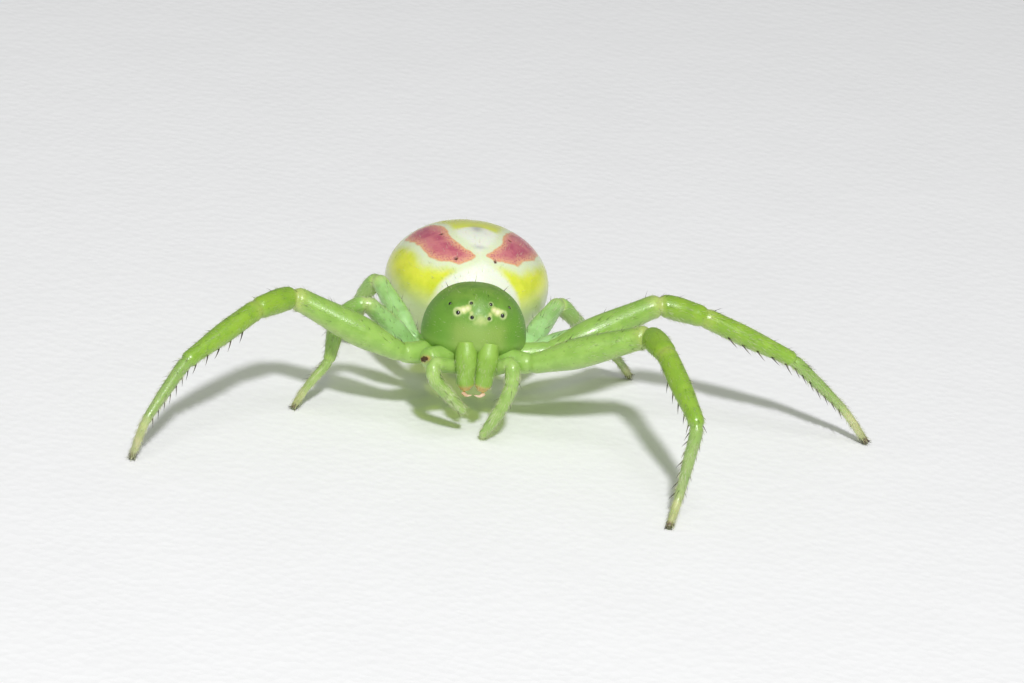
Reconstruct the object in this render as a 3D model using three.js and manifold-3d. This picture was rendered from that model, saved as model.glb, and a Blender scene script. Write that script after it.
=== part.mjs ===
// A green flower crab spider, life size, standing on seven legs with the eighth lost at its coxa.
// Millimetres. +Z is up, the spider faces -Y and +X is its own left. The feet stand on z = 0.
import * as THREE from 'three';
import { mergeVertices } from 'three/addons/utils/BufferGeometryUtils.js';
import Module from 'manifold-3d';

const wasm = await Module();
wasm.setup();

const DEGREE = Math.PI / 180;
const GAP = 0.04; // space left between touching pieces
const EYE_GAP = 0.012; // space round an eye in its socket
const SLIVER = 0.008; // cut edges are cleared of triangles thinner than this

// Head and thorax: a steep dome on a rounded sternum, pitched up at the front
const HEAD = {
  centre: new THREE.Vector3(0, -0.08, 2.1),
  pitch: 11 * DEGREE,
  halfWidth: 1.22,
  halfLength: 1.2,
  height: 1.24,
  depth: 0.56,
  browWidth: 0.72, // width of the face as a share of the widest place
  planPower: 2.3,
};
const MAXILLA = { side: 0.27, forward: 0.78, drop: 0.42, size: new THREE.Vector3(0.17, 0.3, 0.2) };

// Eyes: distance from the midline, height above the margin of the carapace, radius
const EYES = {
  anterior_median: { side: 0.2, height: 0.6, radius: 0.045 },
  posterior_median: { side: 0.23, height: 0.87, radius: 0.04 },
  anterior_lateral: { side: 0.515, height: 0.63, radius: 0.062 },
  posterior_lateral: { side: 0.69, height: 0.73, radius: 0.045 },
};
const EYE_SUNK = 0.35; // share of the radius that the centre lies below the skin
const TUBERCLE = { side: 0.59, height: 0.68, radius: 0.17, sunk: 0.55 };

// Jaws
const CHELICERA = {
  top: new THREE.Vector3(0.265, -1.06, 2.3),
  bottom: new THREE.Vector3(0.195, -1.3, 1.24),
  topRadius: 0.245,
  bottomRadius: 0.17,
};
// Fang, folded across under the end of its jaw: places out from the midline, forward and up
const FANG = {
  path: [[0.25, -1.31, 1.175], [0.16, -1.36, 1.105], [0.035, -1.33, 1.12]],
  rootRadius: 0.055,
  tipRadius: 0.016,
};

// Abdomen, waist and spinnerets
const ABDOMEN = {
  centre: new THREE.Vector3(0.14, 3.27, 2.04),
  halfWidth: 1.95,
  halfLength: 2.05,
  halfHeight: 1.45,
  rearSwell: 0.07,
};
const PEDICEL = { radius: 0.19, height: 1.78, front: 0.75, rear: 1.75 };
const SPINNERET = { length: 0.36, rootRadius: 0.12, tipRadius: 0.06, spread: 0.13, height: 1.12, root: 4.86 };

// Legs: segment lengths, then the radius at the start, middle and end of each segment
const LENGTHS = {
  leg_1: { femur: 2.86, patella: 1.1, tibia: 2.36, metatarsus: 1.78, tarsus: 0.84 },
  leg_2: { femur: 2.86, patella: 1.1, tibia: 2.36, metatarsus: 1.78, tarsus: 1.0 },
  leg_3: { femur: 1.72, patella: 0.78, tibia: 1.13, metatarsus: 0.84, tarsus: 0.57 },
  leg_4: { femur: 2.0, patella: 0.8, tibia: 1.2, metatarsus: 0.95, tarsus: 0.62 },
};
const FRONT_RADII = {
  femur: [0.24, 0.36, 0.27],
  patella: [0.265, 0.285, 0.25],
  tibia: [0.235, 0.245, 0.185],
  metatarsus: [0.155, 0.14, 0.105],
  tarsus: [0.1, 0.095, 0.075],
};
const REAR_RADII = {
  femur: [0.19, 0.255, 0.19],
  patella: [0.19, 0.205, 0.18],
  tibia: [0.17, 0.19, 0.14],
  metatarsus: [0.115, 0.11, 0.09],
  tarsus: [0.09, 0.09, 0.07],
};
const SEGMENTS = ['femur', 'patella', 'tibia', 'metatarsus', 'tarsus'];
const NODES = { femur: ['femur'], tibia: ['patella', 'tibia'], foot: ['metatarsus', 'tarsus'] };
const FRONT_LEG = {
  radii: FRONT_RADII, bend: 0.34, sides: 12, coxaRadius: 0.26, step: 0.27, colour: 0x8fc83f,
};
const REAR_LEG = {
  radii: REAR_RADII, bend: 0.24, sides: 10, coxaRadius: 0.21, step: 0.22, colour: 0x9fdc8c,
};
const TROCHANTER = 0.22; // length of the ring between coxa and femur
const TIP_HEIGHT = 0.055; // height of a foot's last centre, a little under its radius

// Pose: root of each femur, then the heading from +X and the rise of each segment in degrees.
// A tarsus has a heading only, as its rise sets the tip on the floor.
const LEGS = {
  leg_1_left: { root: [1.29, -1.13, 1.9], pose: [[-10, 23], [-77, 1], [-75, -20], [-137, -78], [-110]] },
  leg_2_left: { root: [1.81, -0.27, 1.89], pose: [[16, 23], [-3, -12], [-7, -20], [-5, -40], [-6]] },
  leg_3_left: { root: [1.4, 0.1, 1.71], pose: [[26, 11], [67, -31], [70, -30], [33, -45], [44]] },
  leg_4_left: { root: [1.35, 0.73, 1.57], pose: [[62, 14], [35, -42], [69, -31], [61, -29], [58]] },
  leg_2_right: { root: [-1.69, -0.8, 1.82], pose: [[174, 23], [-141, -5], [-136, -19], [-127, -36], [163]] },
  leg_3_right: { root: [-1.36, 0.25, 1.58], pose: [[-165, 43], [168, -38], [178, -86], [-150, -45], [-158]] },
  leg_4_right: { root: [-1.24, 0.8, 1.48], pose: [[119, 27], [128, -54], [95, -55], [107, -23], [108]] },
};
// Where each coxa leaves the thorax, measured on the left side
const COXA_ROOTS = {
  leg_1: [0.62, -0.78, 1.86],
  leg_2: [0.8, -0.3, 1.74],
  leg_3: [0.8, 0.18, 1.64],
  leg_4: [0.55, 0.68, 1.52],
};
const STUMP = { end: new THREE.Vector3(-1.2, -1.2, 1.88), radius: 0.25, scab: 0.05 };

// Paired spines under the tibia and metatarsus of the two front pairs of legs
const SPINES = {
  tibia: { pairs: 5, from: 0.3, to: 0.94, length: 0.34, radius: 0.034 },
  metatarsus: { pairs: 7, from: 0.08, to: 0.92, length: 0.28, radius: 0.028 },
};
const SPINE = { spread: 42 * DEGREE, lean: 44 * DEGREE, sunk: 0.06, sides: 5 };

// Palps: path from the maxilla to the tip, then the radius at each of its points
const PALPS = {
  left: [[0.42, -0.98, 1.66], [0.82, -1.4, 2.0], [0.84, -1.6, 1.52], [0.64, -1.6, 0.91], [0.31, -1.36, 0.11]],
  right: [
    [-0.42, -0.98, 1.66], [-1.02, -1.42, 1.86], [-0.98, -1.58, 1.56],
    [-0.62, -1.45, 1.16], [-0.14, -1.26, 0.66],
  ],
};
const PALP_RADII = [0.17, 0.175, 0.165, 0.15, 0.105];
const PALP_SPLIT = 2; // the palp is jointed at this point of its path
const PALP_BEND = 0.16;

const COLOURS = {
  carapace: 0x6fa838,
  jaw: 0x93c04a,
  fang: 0xd9b98a,
  palp: 0xa3d27d,
  foot: 0xb6cc62,
  abdomen: 0xe6ea6a,
  waist: 0xa9cf85,
  spinneret: 0xd9d79a,
  eye: 0x14110d,
  scab: 0x4a2a17,
};

const group = new THREE.Group();

function addPiece(name, geometry, colour, roughness = 0.4) {
  const material = new THREE.MeshStandardMaterial({ color: colour, roughness, metalness: 0 });
  const mesh = new THREE.Mesh(geometry, material);
  mesh.name = name;
  group.add(mesh);
  return mesh;
}

// Closed geometry to solid and back, keeping the largest body without its slivers
function toSolid(geometry) {
  const bare = geometry.clone();
  bare.deleteAttribute('normal');
  bare.deleteAttribute('uv');
  const merged = mergeVertices(bare, 1e-5);
  const vertProperties = new Float32Array(merged.getAttribute('position').array);
  const triVerts = new Uint32Array(merged.getIndex().array);
  return new wasm.Manifold(new wasm.Mesh({ numProp: 3, vertProperties, triVerts }));
}

function toGeometry(solid) {
  const bodies = solid.decompose();
  bodies.sort((a, b) => b.volume() - a.volume());
  const mesh = bodies[0].simplify(SLIVER).getMesh();
  const geometry = new THREE.BufferGeometry();
  geometry.setAttribute('position', new THREE.BufferAttribute(new Float32Array(mesh.vertProperties), 3));
  geometry.setIndex(new THREE.BufferAttribute(new Uint32Array(mesh.triVerts), 1));
  geometry.computeVertexNormals();
  return geometry;
}

// Closed skin over a grid of rings, each ring a list of points, with a cap of triangles at each end
function skinRings(rings, startPoint, endPoint) {
  const sides = rings[0].length;
  const points = [startPoint, ...rings.flat(), endPoint];
  const last = points.length - 1;
  const at = (ring, side) => 1 + ring * sides + (side % sides);
  const faces = [];
  for (let side = 0; side < sides; side += 1) {
    faces.push(0, at(0, side + 1), at(0, side));
    faces.push(last, at(rings.length - 1, side), at(rings.length - 1, side + 1));
    for (let ring = 0; ring + 1 < rings.length; ring += 1) {
      faces.push(at(ring, side), at(ring, side + 1), at(ring + 1, side + 1));
      faces.push(at(ring, side), at(ring + 1, side + 1), at(ring + 1, side));
    }
  }
  const geometry = new THREE.BufferGeometry().setFromPoints(points);
  geometry.setIndex(faces);
  geometry.computeVertexNormals();
  return geometry;
}

// Closed skin from a function of longitude and latitude, with its poles down and up
function skinGlobe(pointAt, around, upward) {
  const rings = [];
  for (let row = 1; row < upward; row += 1) {
    const latitude = -Math.PI / 2 + (Math.PI * row) / upward;
    const ring = [];
    for (let column = 0; column < around; column += 1) {
      ring.push(pointAt((2 * Math.PI * column) / around, latitude));
    }
    rings.push(ring);
  }
  return skinRings(rings, pointAt(0, -Math.PI / 2), pointAt(0, Math.PI / 2));
}

function ellipsoid(centre, size, around = 16, upward = 10) {
  const pointAt = (longitude, latitude) => new THREE.Vector3(
    centre.x + size.x * Math.cos(latitude) * Math.cos(longitude),
    centre.y + size.y * Math.cos(latitude) * Math.sin(longitude),
    centre.z + size.z * Math.sin(latitude),
  );
  return skinGlobe(pointAt, around, upward);
}

const ball = (centre, radius, around, upward) =>
  ellipsoid(centre, new THREE.Vector3(radius, radius, radius), around, upward);

// Path through the points with each inner corner rounded over the given reach.
// Returns evenly spaced frames that don't twist, and the length run at each corner.
function roundedPath(points, reach) {
  const path = new THREE.CurvePath();
  const corners = [0];
  let from = points[0];
  let run = 0;
  for (let i = 1; i + 1 < points.length; i += 1) {
    const before = points[i].distanceTo(points[i - 1]);
    const after = points[i].distanceTo(points[i + 1]);
    const cut = Math.min(reach, before * 0.4, after * 0.4);
    const enter = points[i].clone().lerp(points[i - 1], cut / before);
    const leave = points[i].clone().lerp(points[i + 1], cut / after);
    const corner = new THREE.QuadraticBezierCurve3(enter, points[i], leave);
    path.add(new THREE.LineCurve3(from, enter));
    path.add(corner);
    run += from.distanceTo(enter);
    corners.push(run + corner.getLength() / 2);
    run += corner.getLength();
    from = leave;
  }
  path.add(new THREE.LineCurve3(from, points.at(-1)));
  run += from.distanceTo(points.at(-1));
  corners.push(run);
  return { path, corners, length: run };
}

const FRAME_COUNT = 160;

function framesAlong(path) {
  const positions = [];
  for (let i = 0; i <= FRAME_COUNT; i += 1) positions.push(path.getPoint(i / FRAME_COUNT));
  const frames = [];
  let dorsal = new THREE.Vector3(0, 0, 1);
  for (let i = 0; i <= FRAME_COUNT; i += 1) {
    const before = positions[Math.max(i - 1, 0)];
    const after = positions[Math.min(i + 1, FRAME_COUNT)];
    const along = after.clone().sub(before).normalize();
    dorsal = dorsal.clone().addScaledVector(along, -dorsal.dot(along)).normalize();
    frames.push({ position: positions[i], along, dorsal, side: along.clone().cross(dorsal) });
  }
  return frames;
}

function frameAt(limb, run) {
  const place = THREE.MathUtils.clamp(run / limb.length, 0, 1) * FRAME_COUNT;
  const index = Math.min(Math.floor(place), FRAME_COUNT - 1);
  const share = place - index;
  const [a, b] = [limb.frames[index], limb.frames[index + 1]];
  return {
    position: a.position.clone().lerp(b.position, share),
    along: a.along.clone().lerp(b.along, share).normalize(),
    dorsal: a.dorsal.clone().lerp(b.dorsal, share).normalize(),
    side: a.side.clone().lerp(b.side, share).normalize(),
  };
}

function makeLimb(points, reach, radiusAt) {
  const limb = roundedPath(points, reach);
  limb.frames = framesAlong(limb.path);
  limb.radiusAt = (run) => radiusAt(run, limb);
  return limb;
}

// Tube along part of a limb. An end at a joint is flat, and the last end is drawn in to a blunt tip.
function tube(limb, start, end, sides, step, blunt = false) {
  const count = Math.max(3, Math.round((end - start) / step));
  const stations = [];
  for (let i = 0; i <= count; i += 1) stations.push([start + ((end - start) * i) / count, 1]);
  if (blunt) {
    const tip = stations.pop()[0];
    stations.push([tip - limb.radiusAt(tip) * 0.6, 0.92]);
    stations.push([tip - limb.radiusAt(tip) * 0.12, 0.6]);
  }
  const rings = stations.map(([run, share]) => {
    const frame = frameAt(limb, run);
    const radius = limb.radiusAt(run) * share;
    const ring = [];
    for (let i = 0; i < sides; i += 1) {
      const turn = (2 * Math.PI * i) / sides;
      ring.push(frame.position.clone()
        .addScaledVector(frame.side, radius * Math.cos(turn))
        .addScaledVector(frame.dorsal, -radius * Math.sin(turn)));
    }
    return ring;
  });
  return skinRings(rings, frameAt(limb, start).position, frameAt(limb, end).position);
}

// Smooth value through a list of [place, value] stations
function between(stations, place) {
  const next = stations.findIndex(([at]) => at >= place);
  if (next < 0) return stations.at(-1)[1];
  if (next === 0) return stations[0][1];
  const [fromPlace, fromValue] = stations[next - 1];
  const [toPlace, toValue] = stations[next];
  const share = THREE.MathUtils.smoothstep(place, fromPlace, toPlace);
  return THREE.MathUtils.lerp(fromValue, toValue, share);
}

// Head and thorax
function carapacePoint(longitude, latitude, grow = 0) {
  const forward = -Math.sin(longitude);
  const sideways = Math.cos(longitude);
  const front = Math.max(forward, 0);
  const power = HEAD.planPower;
  const width = HEAD.halfWidth + grow;
  const length = HEAD.halfLength + grow;
  const reach = (Math.abs(sideways / width) ** power + Math.abs(forward / length) ** power) ** (-1 / power);
  const narrowing = 1 - (1 - HEAD.browWidth) * front ** 3;
  const up = Math.sin(latitude);
  const upper = up > 0;
  const flatness = upper ? 0.9 - 0.42 * front ** 2 : 1.25;
  const inward = Math.cos(latitude) ** flatness;
  const height = upper ? (HEAD.height + grow) * up ** 0.95 : (HEAD.depth + grow) * up;
  const point = new THREE.Vector3(sideways * reach * narrowing * inward, -forward * reach * inward, height);
  point.applyAxisAngle(new THREE.Vector3(1, 0, 0), -HEAD.pitch);
  return point.add(HEAD.centre);
}

const headShape = (grow, around = 36, upward = 22) =>
  skinGlobe((longitude, latitude) => carapacePoint(longitude, latitude, grow), around, upward);

// Point and outward direction where a line from the front meets the carapace
const face = new THREE.Mesh(headShape(0), new THREE.MeshStandardMaterial({ side: THREE.DoubleSide }));
function onFace(side, height) {
  const origin = new THREE.Vector3(side, -5, HEAD.centre.z + height + HEAD.halfLength * Math.sin(HEAD.pitch));
  const hit = new THREE.Raycaster(origin, new THREE.Vector3(0, 1, 0)).intersectObject(face)[0];
  return { point: hit.point, normal: hit.face.normal.clone() };
}

function eyeCentre(eye, side) {
  const { point, normal } = onFace(side * eye.side, eye.height);
  return point.addScaledVector(normal, -eye.radius * EYE_SUNK);
}

function makeHead() {
  let solid = toSolid(headShape(0));
  for (const side of [1, -1]) {
    const { point, normal } = onFace(side * TUBERCLE.side, TUBERCLE.height);
    const tubercle = ball(point.addScaledVector(normal, -TUBERCLE.radius * TUBERCLE.sunk), TUBERCLE.radius);
    solid = solid.add(toSolid(tubercle));
    const maxilla = new THREE.Vector3(side * MAXILLA.side, -MAXILLA.forward, HEAD.centre.z - MAXILLA.drop);
    solid = solid.add(toSolid(ellipsoid(maxilla, MAXILLA.size)));
  }
  return solid;
}

function cutSocket(solid, eye, side) {
  return solid.subtract(toSolid(ball(eyeCentre(eye, side), eye.radius + EYE_GAP, 10, 7)));
}

const sideName = (side) => (side > 0 ? 'left' : 'right');

// Jaw: a stout cone leaning forward, with a curved fang folded inward under its end
function makeJaw(side, headSpace) {
  const mirror = (point) => new THREE.Vector3(point.x * side, point.y, point.z);
  const { top, bottom, topRadius, bottomRadius } = CHELICERA;
  const start = mirror(top);
  const end = mirror(bottom);
  const knee = start.clone().lerp(end, 0.35).add(new THREE.Vector3(0, -0.09, 0));
  const taper = [[0, topRadius * 0.9], [0.3, topRadius], [0.8, bottomRadius * 1.2], [1, bottomRadius]];
  const limb = makeLimb([start, knee, end], 0.3, (run, { length }) => between(taper, run / length));
  const jaw = toSolid(tube(limb, 0, limb.length, 16, 0.14, true)).subtract(headSpace);
  const around = makeLimb([start, knee, end], 0.3, (run, { length }) => between(taper, run / length) + GAP);
  const jawSpace = toSolid(tube(around, 0, around.length, 16, 0.2, true));
  const fangPath = FANG.path.map((place) => mirror(new THREE.Vector3(...place)));
  const fang = makeLimb(fangPath, 0.06, (run, { length }) =>
    THREE.MathUtils.lerp(FANG.rootRadius, FANG.tipRadius, run / length));
  const fangSolid = toSolid(tube(fang, 0, fang.length, 8, 0.045, true)).subtract(jawSpace);
  return { jaw, jawSpace, fang: toGeometry(fangSolid) };
}

// Legs
function directionOf(heading, rise) {
  const level = Math.cos(rise * DEGREE);
  return new THREE.Vector3(
    level * Math.cos(heading * DEGREE),
    level * Math.sin(heading * DEGREE),
    Math.sin(rise * DEGREE),
  );
}

function legPoints(root, pose, lengths) {
  const points = [new THREE.Vector3(...root)];
  SEGMENTS.forEach((segment, index) => {
    const from = points.at(-1);
    const length = lengths[segment];
    const [heading, rise] = pose[index];
    const toFloor = Math.asin(Math.max(-1, (TIP_HEIGHT - from.z) / length)) / DEGREE;
    points.push(from.clone().addScaledVector(directionOf(heading, rise ?? toFloor), length));
  });
  return points;
}

function legRadius(radii, corners, run) {
  const index = Math.min(Math.max(corners.findIndex((at) => at > run) - 1, 0), SEGMENTS.length - 1);
  const inside = run >= corners.at(-1) ? SEGMENTS.length - 1 : index;
  const [start, middle, end] = radii[SEGMENTS[inside]];
  const share = (run - corners[inside]) / (corners[inside + 1] - corners[inside]);
  return between([[0, start], [0.4, middle], [1, end]], share);
}

function addSpines(solid, limb, segment, index) {
  const row = SPINES[segment];
  let result = solid;
  for (let pair = 0; pair < row.pairs; pair += 1) {
    const share = THREE.MathUtils.lerp(row.from, row.to, pair / (row.pairs - 1));
    const run = THREE.MathUtils.lerp(limb.corners[index], limb.corners[index + 1], share);
    const frame = frameAt(limb, run);
    for (const side of [1, -1]) {
      const outward = frame.dorsal.clone().multiplyScalar(-Math.cos(SPINE.spread))
        .addScaledVector(frame.side, side * Math.sin(SPINE.spread));
      const direction = outward.clone().multiplyScalar(Math.cos(SPINE.lean))
        .addScaledVector(frame.along, Math.sin(SPINE.lean));
      const root = frame.position.clone().addScaledVector(outward, limb.radiusAt(run) * 0.97);
      result = result.add(toSolid(spineShape(root, direction, row)));
    }
  }
  return result;
}

function spineShape(root, direction, { length, radius }) {
  const cone = new THREE.ConeGeometry(radius, length + SPINE.sunk, SPINE.sides);
  cone.translate(0, (length + SPINE.sunk) / 2 - SPINE.sunk, 0);
  const turn = new THREE.Quaternion().setFromUnitVectors(new THREE.Vector3(0, 1, 0), direction);
  return cone.applyQuaternion(turn).translate(root.x, root.y, root.z);
}

const FLOOR_SIZE = 40;
const underFloor = toSolid(new THREE.BoxGeometry(FLOOR_SIZE, FLOOR_SIZE, 2).translate(0, 0, -1));

function makeLeg(name, { root, pose }, headSpace) {
  const pair = name.slice(0, 5);
  const isFront = pair === 'leg_1' || pair === 'leg_2';
  const build = isFront ? FRONT_LEG : REAR_LEG;
  const points = legPoints(root, pose, LENGTHS[pair]);
  const side = Math.sign(root[0]);
  const [rootX, rootY, rootZ] = COXA_ROOTS[pair];
  const coxaRoot = new THREE.Vector3(side * rootX, rootY, rootZ);
  const limb = makeLimb(points, build.bend, (run, { corners }) => legRadius(build.radii, corners, run));
  for (const [node, segments] of Object.entries(NODES)) {
    const first = SEGMENTS.indexOf(segments[0]);
    const last = first + segments.length;
    const isTip = node === 'foot';
    const start = limb.corners[first] + GAP / 2;
    const end = limb.corners[last] - (isTip ? 0 : GAP / 2);
    let solid = toSolid(tube(limb, start, end, build.sides, build.step, isTip));
    if (isFront && node === 'tibia') solid = addSpines(solid, limb, 'tibia', 2);
    if (isFront && node === 'foot') solid = addSpines(solid, limb, 'metatarsus', 3);
    if (isTip) solid = solid.subtract(underFloor);
    addPiece(`${name}_${node}`, toGeometry(solid), isTip ? COLOURS.foot : build.colour);
  }
  const rootEnd = points[0].clone().addScaledVector(limb.frames[0].along, -GAP / 2);
  const coxa = makeCoxa(coxaRoot, rootEnd, limb.frames[0].along, build);
  addPiece(`${name}_coxa`, toGeometry(coxa.subtract(headSpace)), build.colour);
  return makeCoxa(coxaRoot, rootEnd, limb.frames[0].along, build, GAP);
}

// Coxa and trochanter: from inside the thorax to the flat face that the femur meets
function makeCoxa(root, end, along, build, grow = 0) {
  const start = build.radii.femur[0] + grow;
  const middle = build.coxaRadius + grow;
  const neck = end.clone().addScaledVector(along, -TROCHANTER);
  const limb = makeLimb([root, neck, end], 0.2, (run, { length }) =>
    between([[0, middle], [0.5, middle], [1, start]], run / length));
  return toSolid(tube(limb, 0, limb.length, build.sides, 0.16));
}

// The lost leg: its coxa, closed by a low scab, and the space that the palp keeps clear of
function makeStump(headSpace) {
  const [x, y, z] = COXA_ROOTS.leg_1;
  const root = new THREE.Vector3(-x, y, z);
  const limb = makeLimb([root, STUMP.end], 0, () => STUMP.radius);
  const bare = limb.length - STUMP.scab - GAP;
  const coxa = toSolid(tube(limb, 0, bare, FRONT_LEG.sides, 0.16)).subtract(headSpace);
  addPiece('leg_1_right_coxa', toGeometry(coxa), FRONT_LEG.colour);
  const scab = makeLimb([frameAt(limb, bare + GAP).position, STUMP.end], 0, () => STUMP.radius * 0.72);
  addPiece('leg_1_right_scab', tube(scab, 0, scab.length, 10, 0.03), COLOURS.scab, 0.8);
  const around = makeLimb([root, STUMP.end], 0, () => STUMP.radius + GAP);
  return toSolid(tube(around, 0, around.length, FRONT_LEG.sides, 0.2));
}

function makePalp(side, neighbours) {
  const name = sideName(side);
  const points = PALPS[name].map((place) => new THREE.Vector3(...place));
  const limb = makeLimb(points, PALP_BEND, (run, { corners }) =>
    between(corners.map((at, index) => [at, PALP_RADII[index]]), run));
  const split = limb.corners[PALP_SPLIT];
  let upper = toSolid(tube(limb, 0, split - GAP / 2, 10, 0.14));
  for (const neighbour of neighbours) upper = upper.subtract(neighbour);
  const lower = toSolid(tube(limb, split + GAP / 2, limb.length, 10, 0.14, true)).subtract(underFloor);
  addPiece(`palp_${name}_upper`, toGeometry(upper), COLOURS.palp);
  addPiece(`palp_${name}_lower`, toGeometry(lower), COLOURS.palp);
}

// Abdomen: a smooth egg, wider behind
function abdomenShape(grow, around = 36, upward = 22) {
  const { centre, halfWidth, halfLength, halfHeight, rearSwell } = ABDOMEN;
  return skinGlobe((longitude, latitude) => {
    const back = Math.cos(latitude) * Math.sin(longitude);
    const sideways = Math.cos(latitude) * Math.cos(longitude);
    const swell = 1 + rearSwell * back;
    return new THREE.Vector3(
      (halfWidth + grow) * sideways * swell,
      (halfLength + grow) * back,
      (halfHeight + grow) * Math.sin(latitude),
    ).add(centre);
  }, around, upward);
}

function makeSpinnerets(abdomenSpace) {
  let solid = null;
  for (const [side, up] of [[1, 0], [-1, 0], [1, 1], [-1, 1]]) {
    const { length, rootRadius, tipRadius, spread, height, root } = SPINNERET;
    const start = new THREE.Vector3(side * spread * 0.8, root - 0.3, height + up * 0.14);
    const reach = length * (1 - 0.25 * up);
    const end = new THREE.Vector3(side * spread * 0.55, root + reach, height + up * 0.2 - 0.12);
    for (const place of [start, end]) place.x += ABDOMEN.centre.x;
    const cone = makeLimb([start, end], 0, (run, limb) =>
      THREE.MathUtils.lerp(rootRadius, tipRadius, run / limb.length));
    const piece = toSolid(tube(cone, 0, cone.length, 8, 0.3));
    solid = solid ? solid.add(piece) : piece;
  }
  return solid.subtract(abdomenSpace);
}

const headSpace = toSolid(headShape(GAP));
const abdomenSpace = toSolid(abdomenShape(GAP));

let head = makeHead();
for (const [name, eye] of Object.entries(EYES)) {
  for (const side of [1, -1]) {
    head = cutSocket(head, eye, side);
    const lens = ball(eyeCentre(eye, side), eye.radius, 8, 6);
    addPiece(`eye_${name}_${sideName(side)}`, lens, COLOURS.eye, 0.08);
  }
}
const maxillaSpace = [1, -1].map((side) => {
  const place = new THREE.Vector3(side * MAXILLA.side, -MAXILLA.forward, HEAD.centre.z - MAXILLA.drop);
  return toSolid(ellipsoid(place, MAXILLA.size.clone().addScalar(GAP)));
});
const bodySpace = headSpace.add(maxillaSpace[0]).add(maxillaSpace[1]);
addPiece('cephalothorax', toGeometry(head), COLOURS.carapace, 0.35);
addPiece('abdomen', abdomenShape(0), COLOURS.abdomen, 0.3);

const waist = makeLimb(
  [new THREE.Vector3(0, PEDICEL.front, PEDICEL.height), new THREE.Vector3(0, PEDICEL.rear, PEDICEL.height)],
  0,
  () => PEDICEL.radius,
);
const waistSolid = toSolid(tube(waist, 0, waist.length, 12, 0.2)).subtract(bodySpace).subtract(abdomenSpace);
addPiece('pedicel', toGeometry(waistSolid), COLOURS.waist);
addPiece('spinnerets', toGeometry(makeSpinnerets(abdomenSpace)), COLOURS.spinneret);

const coxaSpaces = { leg_1_right: makeStump(bodySpace) };
for (const [name, leg] of Object.entries(LEGS)) coxaSpaces[name] = makeLeg(name, leg, bodySpace);
for (const side of [1, -1]) {
  const { jaw, jawSpace, fang } = makeJaw(side, bodySpace);
  addPiece(`chelicera_${sideName(side)}`, toGeometry(jaw), COLOURS.jaw);
  addPiece(`fang_${sideName(side)}`, fang, COLOURS.fang);
  makePalp(side, [bodySpace, jawSpace, coxaSpaces[`leg_1_${sideName(side)}`]]);
}

// Origin: the middle of the footprint, on the floor
const bounds = new THREE.Box3().setFromObject(group);
const middle = bounds.getCenter(new THREE.Vector3());
group.position.set(-middle.x, -middle.y, -bounds.min.z);

export default group;
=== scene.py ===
import math

import bpy
import numpy as np
from mathutils import Matrix, Vector


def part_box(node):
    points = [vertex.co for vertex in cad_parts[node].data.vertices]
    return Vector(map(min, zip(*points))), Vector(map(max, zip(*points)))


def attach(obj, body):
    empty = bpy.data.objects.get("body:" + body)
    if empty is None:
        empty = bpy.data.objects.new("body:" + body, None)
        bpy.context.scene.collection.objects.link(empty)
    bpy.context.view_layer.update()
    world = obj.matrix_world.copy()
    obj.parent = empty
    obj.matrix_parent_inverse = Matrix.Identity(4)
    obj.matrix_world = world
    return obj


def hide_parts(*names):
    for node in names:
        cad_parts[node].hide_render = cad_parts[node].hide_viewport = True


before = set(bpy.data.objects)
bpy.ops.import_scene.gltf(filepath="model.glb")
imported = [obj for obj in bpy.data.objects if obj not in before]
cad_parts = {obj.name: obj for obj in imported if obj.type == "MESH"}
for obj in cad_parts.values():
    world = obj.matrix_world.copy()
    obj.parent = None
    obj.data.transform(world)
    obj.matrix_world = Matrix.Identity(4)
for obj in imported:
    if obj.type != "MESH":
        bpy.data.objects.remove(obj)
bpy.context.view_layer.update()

# A green flower crab spider, standing on seven legs. It is measured in millimetres on its own axes:
# it faces -Y, +X is its left and z = 0 is the floor. toFrame turns that into the frame's metres.
mm = 0.001
rng = np.random.default_rng(7)

abdomen = {
    "centre": np.array([0.14, 3.27, 2.04]),
    "halfSize": np.array([1.95, 2.05, 1.45]),
    "rearSwell": 0.07,
    "around": 240,
    "upward": 140,
    "bandSide": 0.04,
    "pitDepth": 0.03,
    "furrowDepth": 0.012,
    "pitRadius": 0.024,
    # Grey spots on the band: place from front to back, squash across and along, width, strength
    "greySpots": [(-0.43, 1.2, 3.0, 0.1, 0.8), (-0.02, 1.0, 0.8, 0.07, 1.0)],
    # Half width of the white marking at places from front to back
    "whiteWidths": [(-1.0, 0.62), (-0.8, 0.52), (-0.74, 0.3), (-0.65, 0.18), (-0.55, 0.14), (-0.47, 0.2),
                    (-0.33, 0.3), (-0.2, 0.35), (-0.1, 0.33), (0.0, 0.12), (0.1, -0.3)],
    # Places in half sizes, seen from above: the small dark pits, and the outlines of the rose patches
    "pits": [(-0.40, -0.11), (-0.25, -0.59), (0.23, -0.60), (0.44, -0.13), (-0.33, 0.34), (0.36, 0.34)],
    "patches": [
        [(-0.03, -0.57), (-0.13, -0.62), (-0.21, -0.64), (-0.32, -0.59), (-0.43, -0.55), (-0.53, -0.46),
         (-0.59, -0.36), (-0.64, -0.18), (-0.74, 0.02), (-0.78, 0.18), (-0.66, 0.32), (-0.50, 0.28),
         (-0.40, 0.11), (-0.35, -0.07), (-0.31, -0.24), (-0.25, -0.34), (-0.15, -0.47)],
        [(0.13, -0.55), (0.22, -0.57), (0.33, -0.55), (0.42, -0.53), (0.50, -0.51), (0.56, -0.42),
         (0.63, -0.35), (0.73, -0.20), (0.81, 0.02), (0.80, 0.20), (0.68, 0.32), (0.54, 0.27),
         (0.43, 0.06), (0.38, -0.11), (0.35, -0.24), (0.29, -0.39), (0.22, -0.49)],
    ],
}
abdomenLow, abdomenHigh = (np.array(corner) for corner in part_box("abdomen"))
ownOrigin = (abdomenLow + abdomenHigh) / 2 / mm - abdomen["centre"]


def toFrame(points):
    return (np.asarray(points, dtype=float) + ownOrigin) * mm


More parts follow.
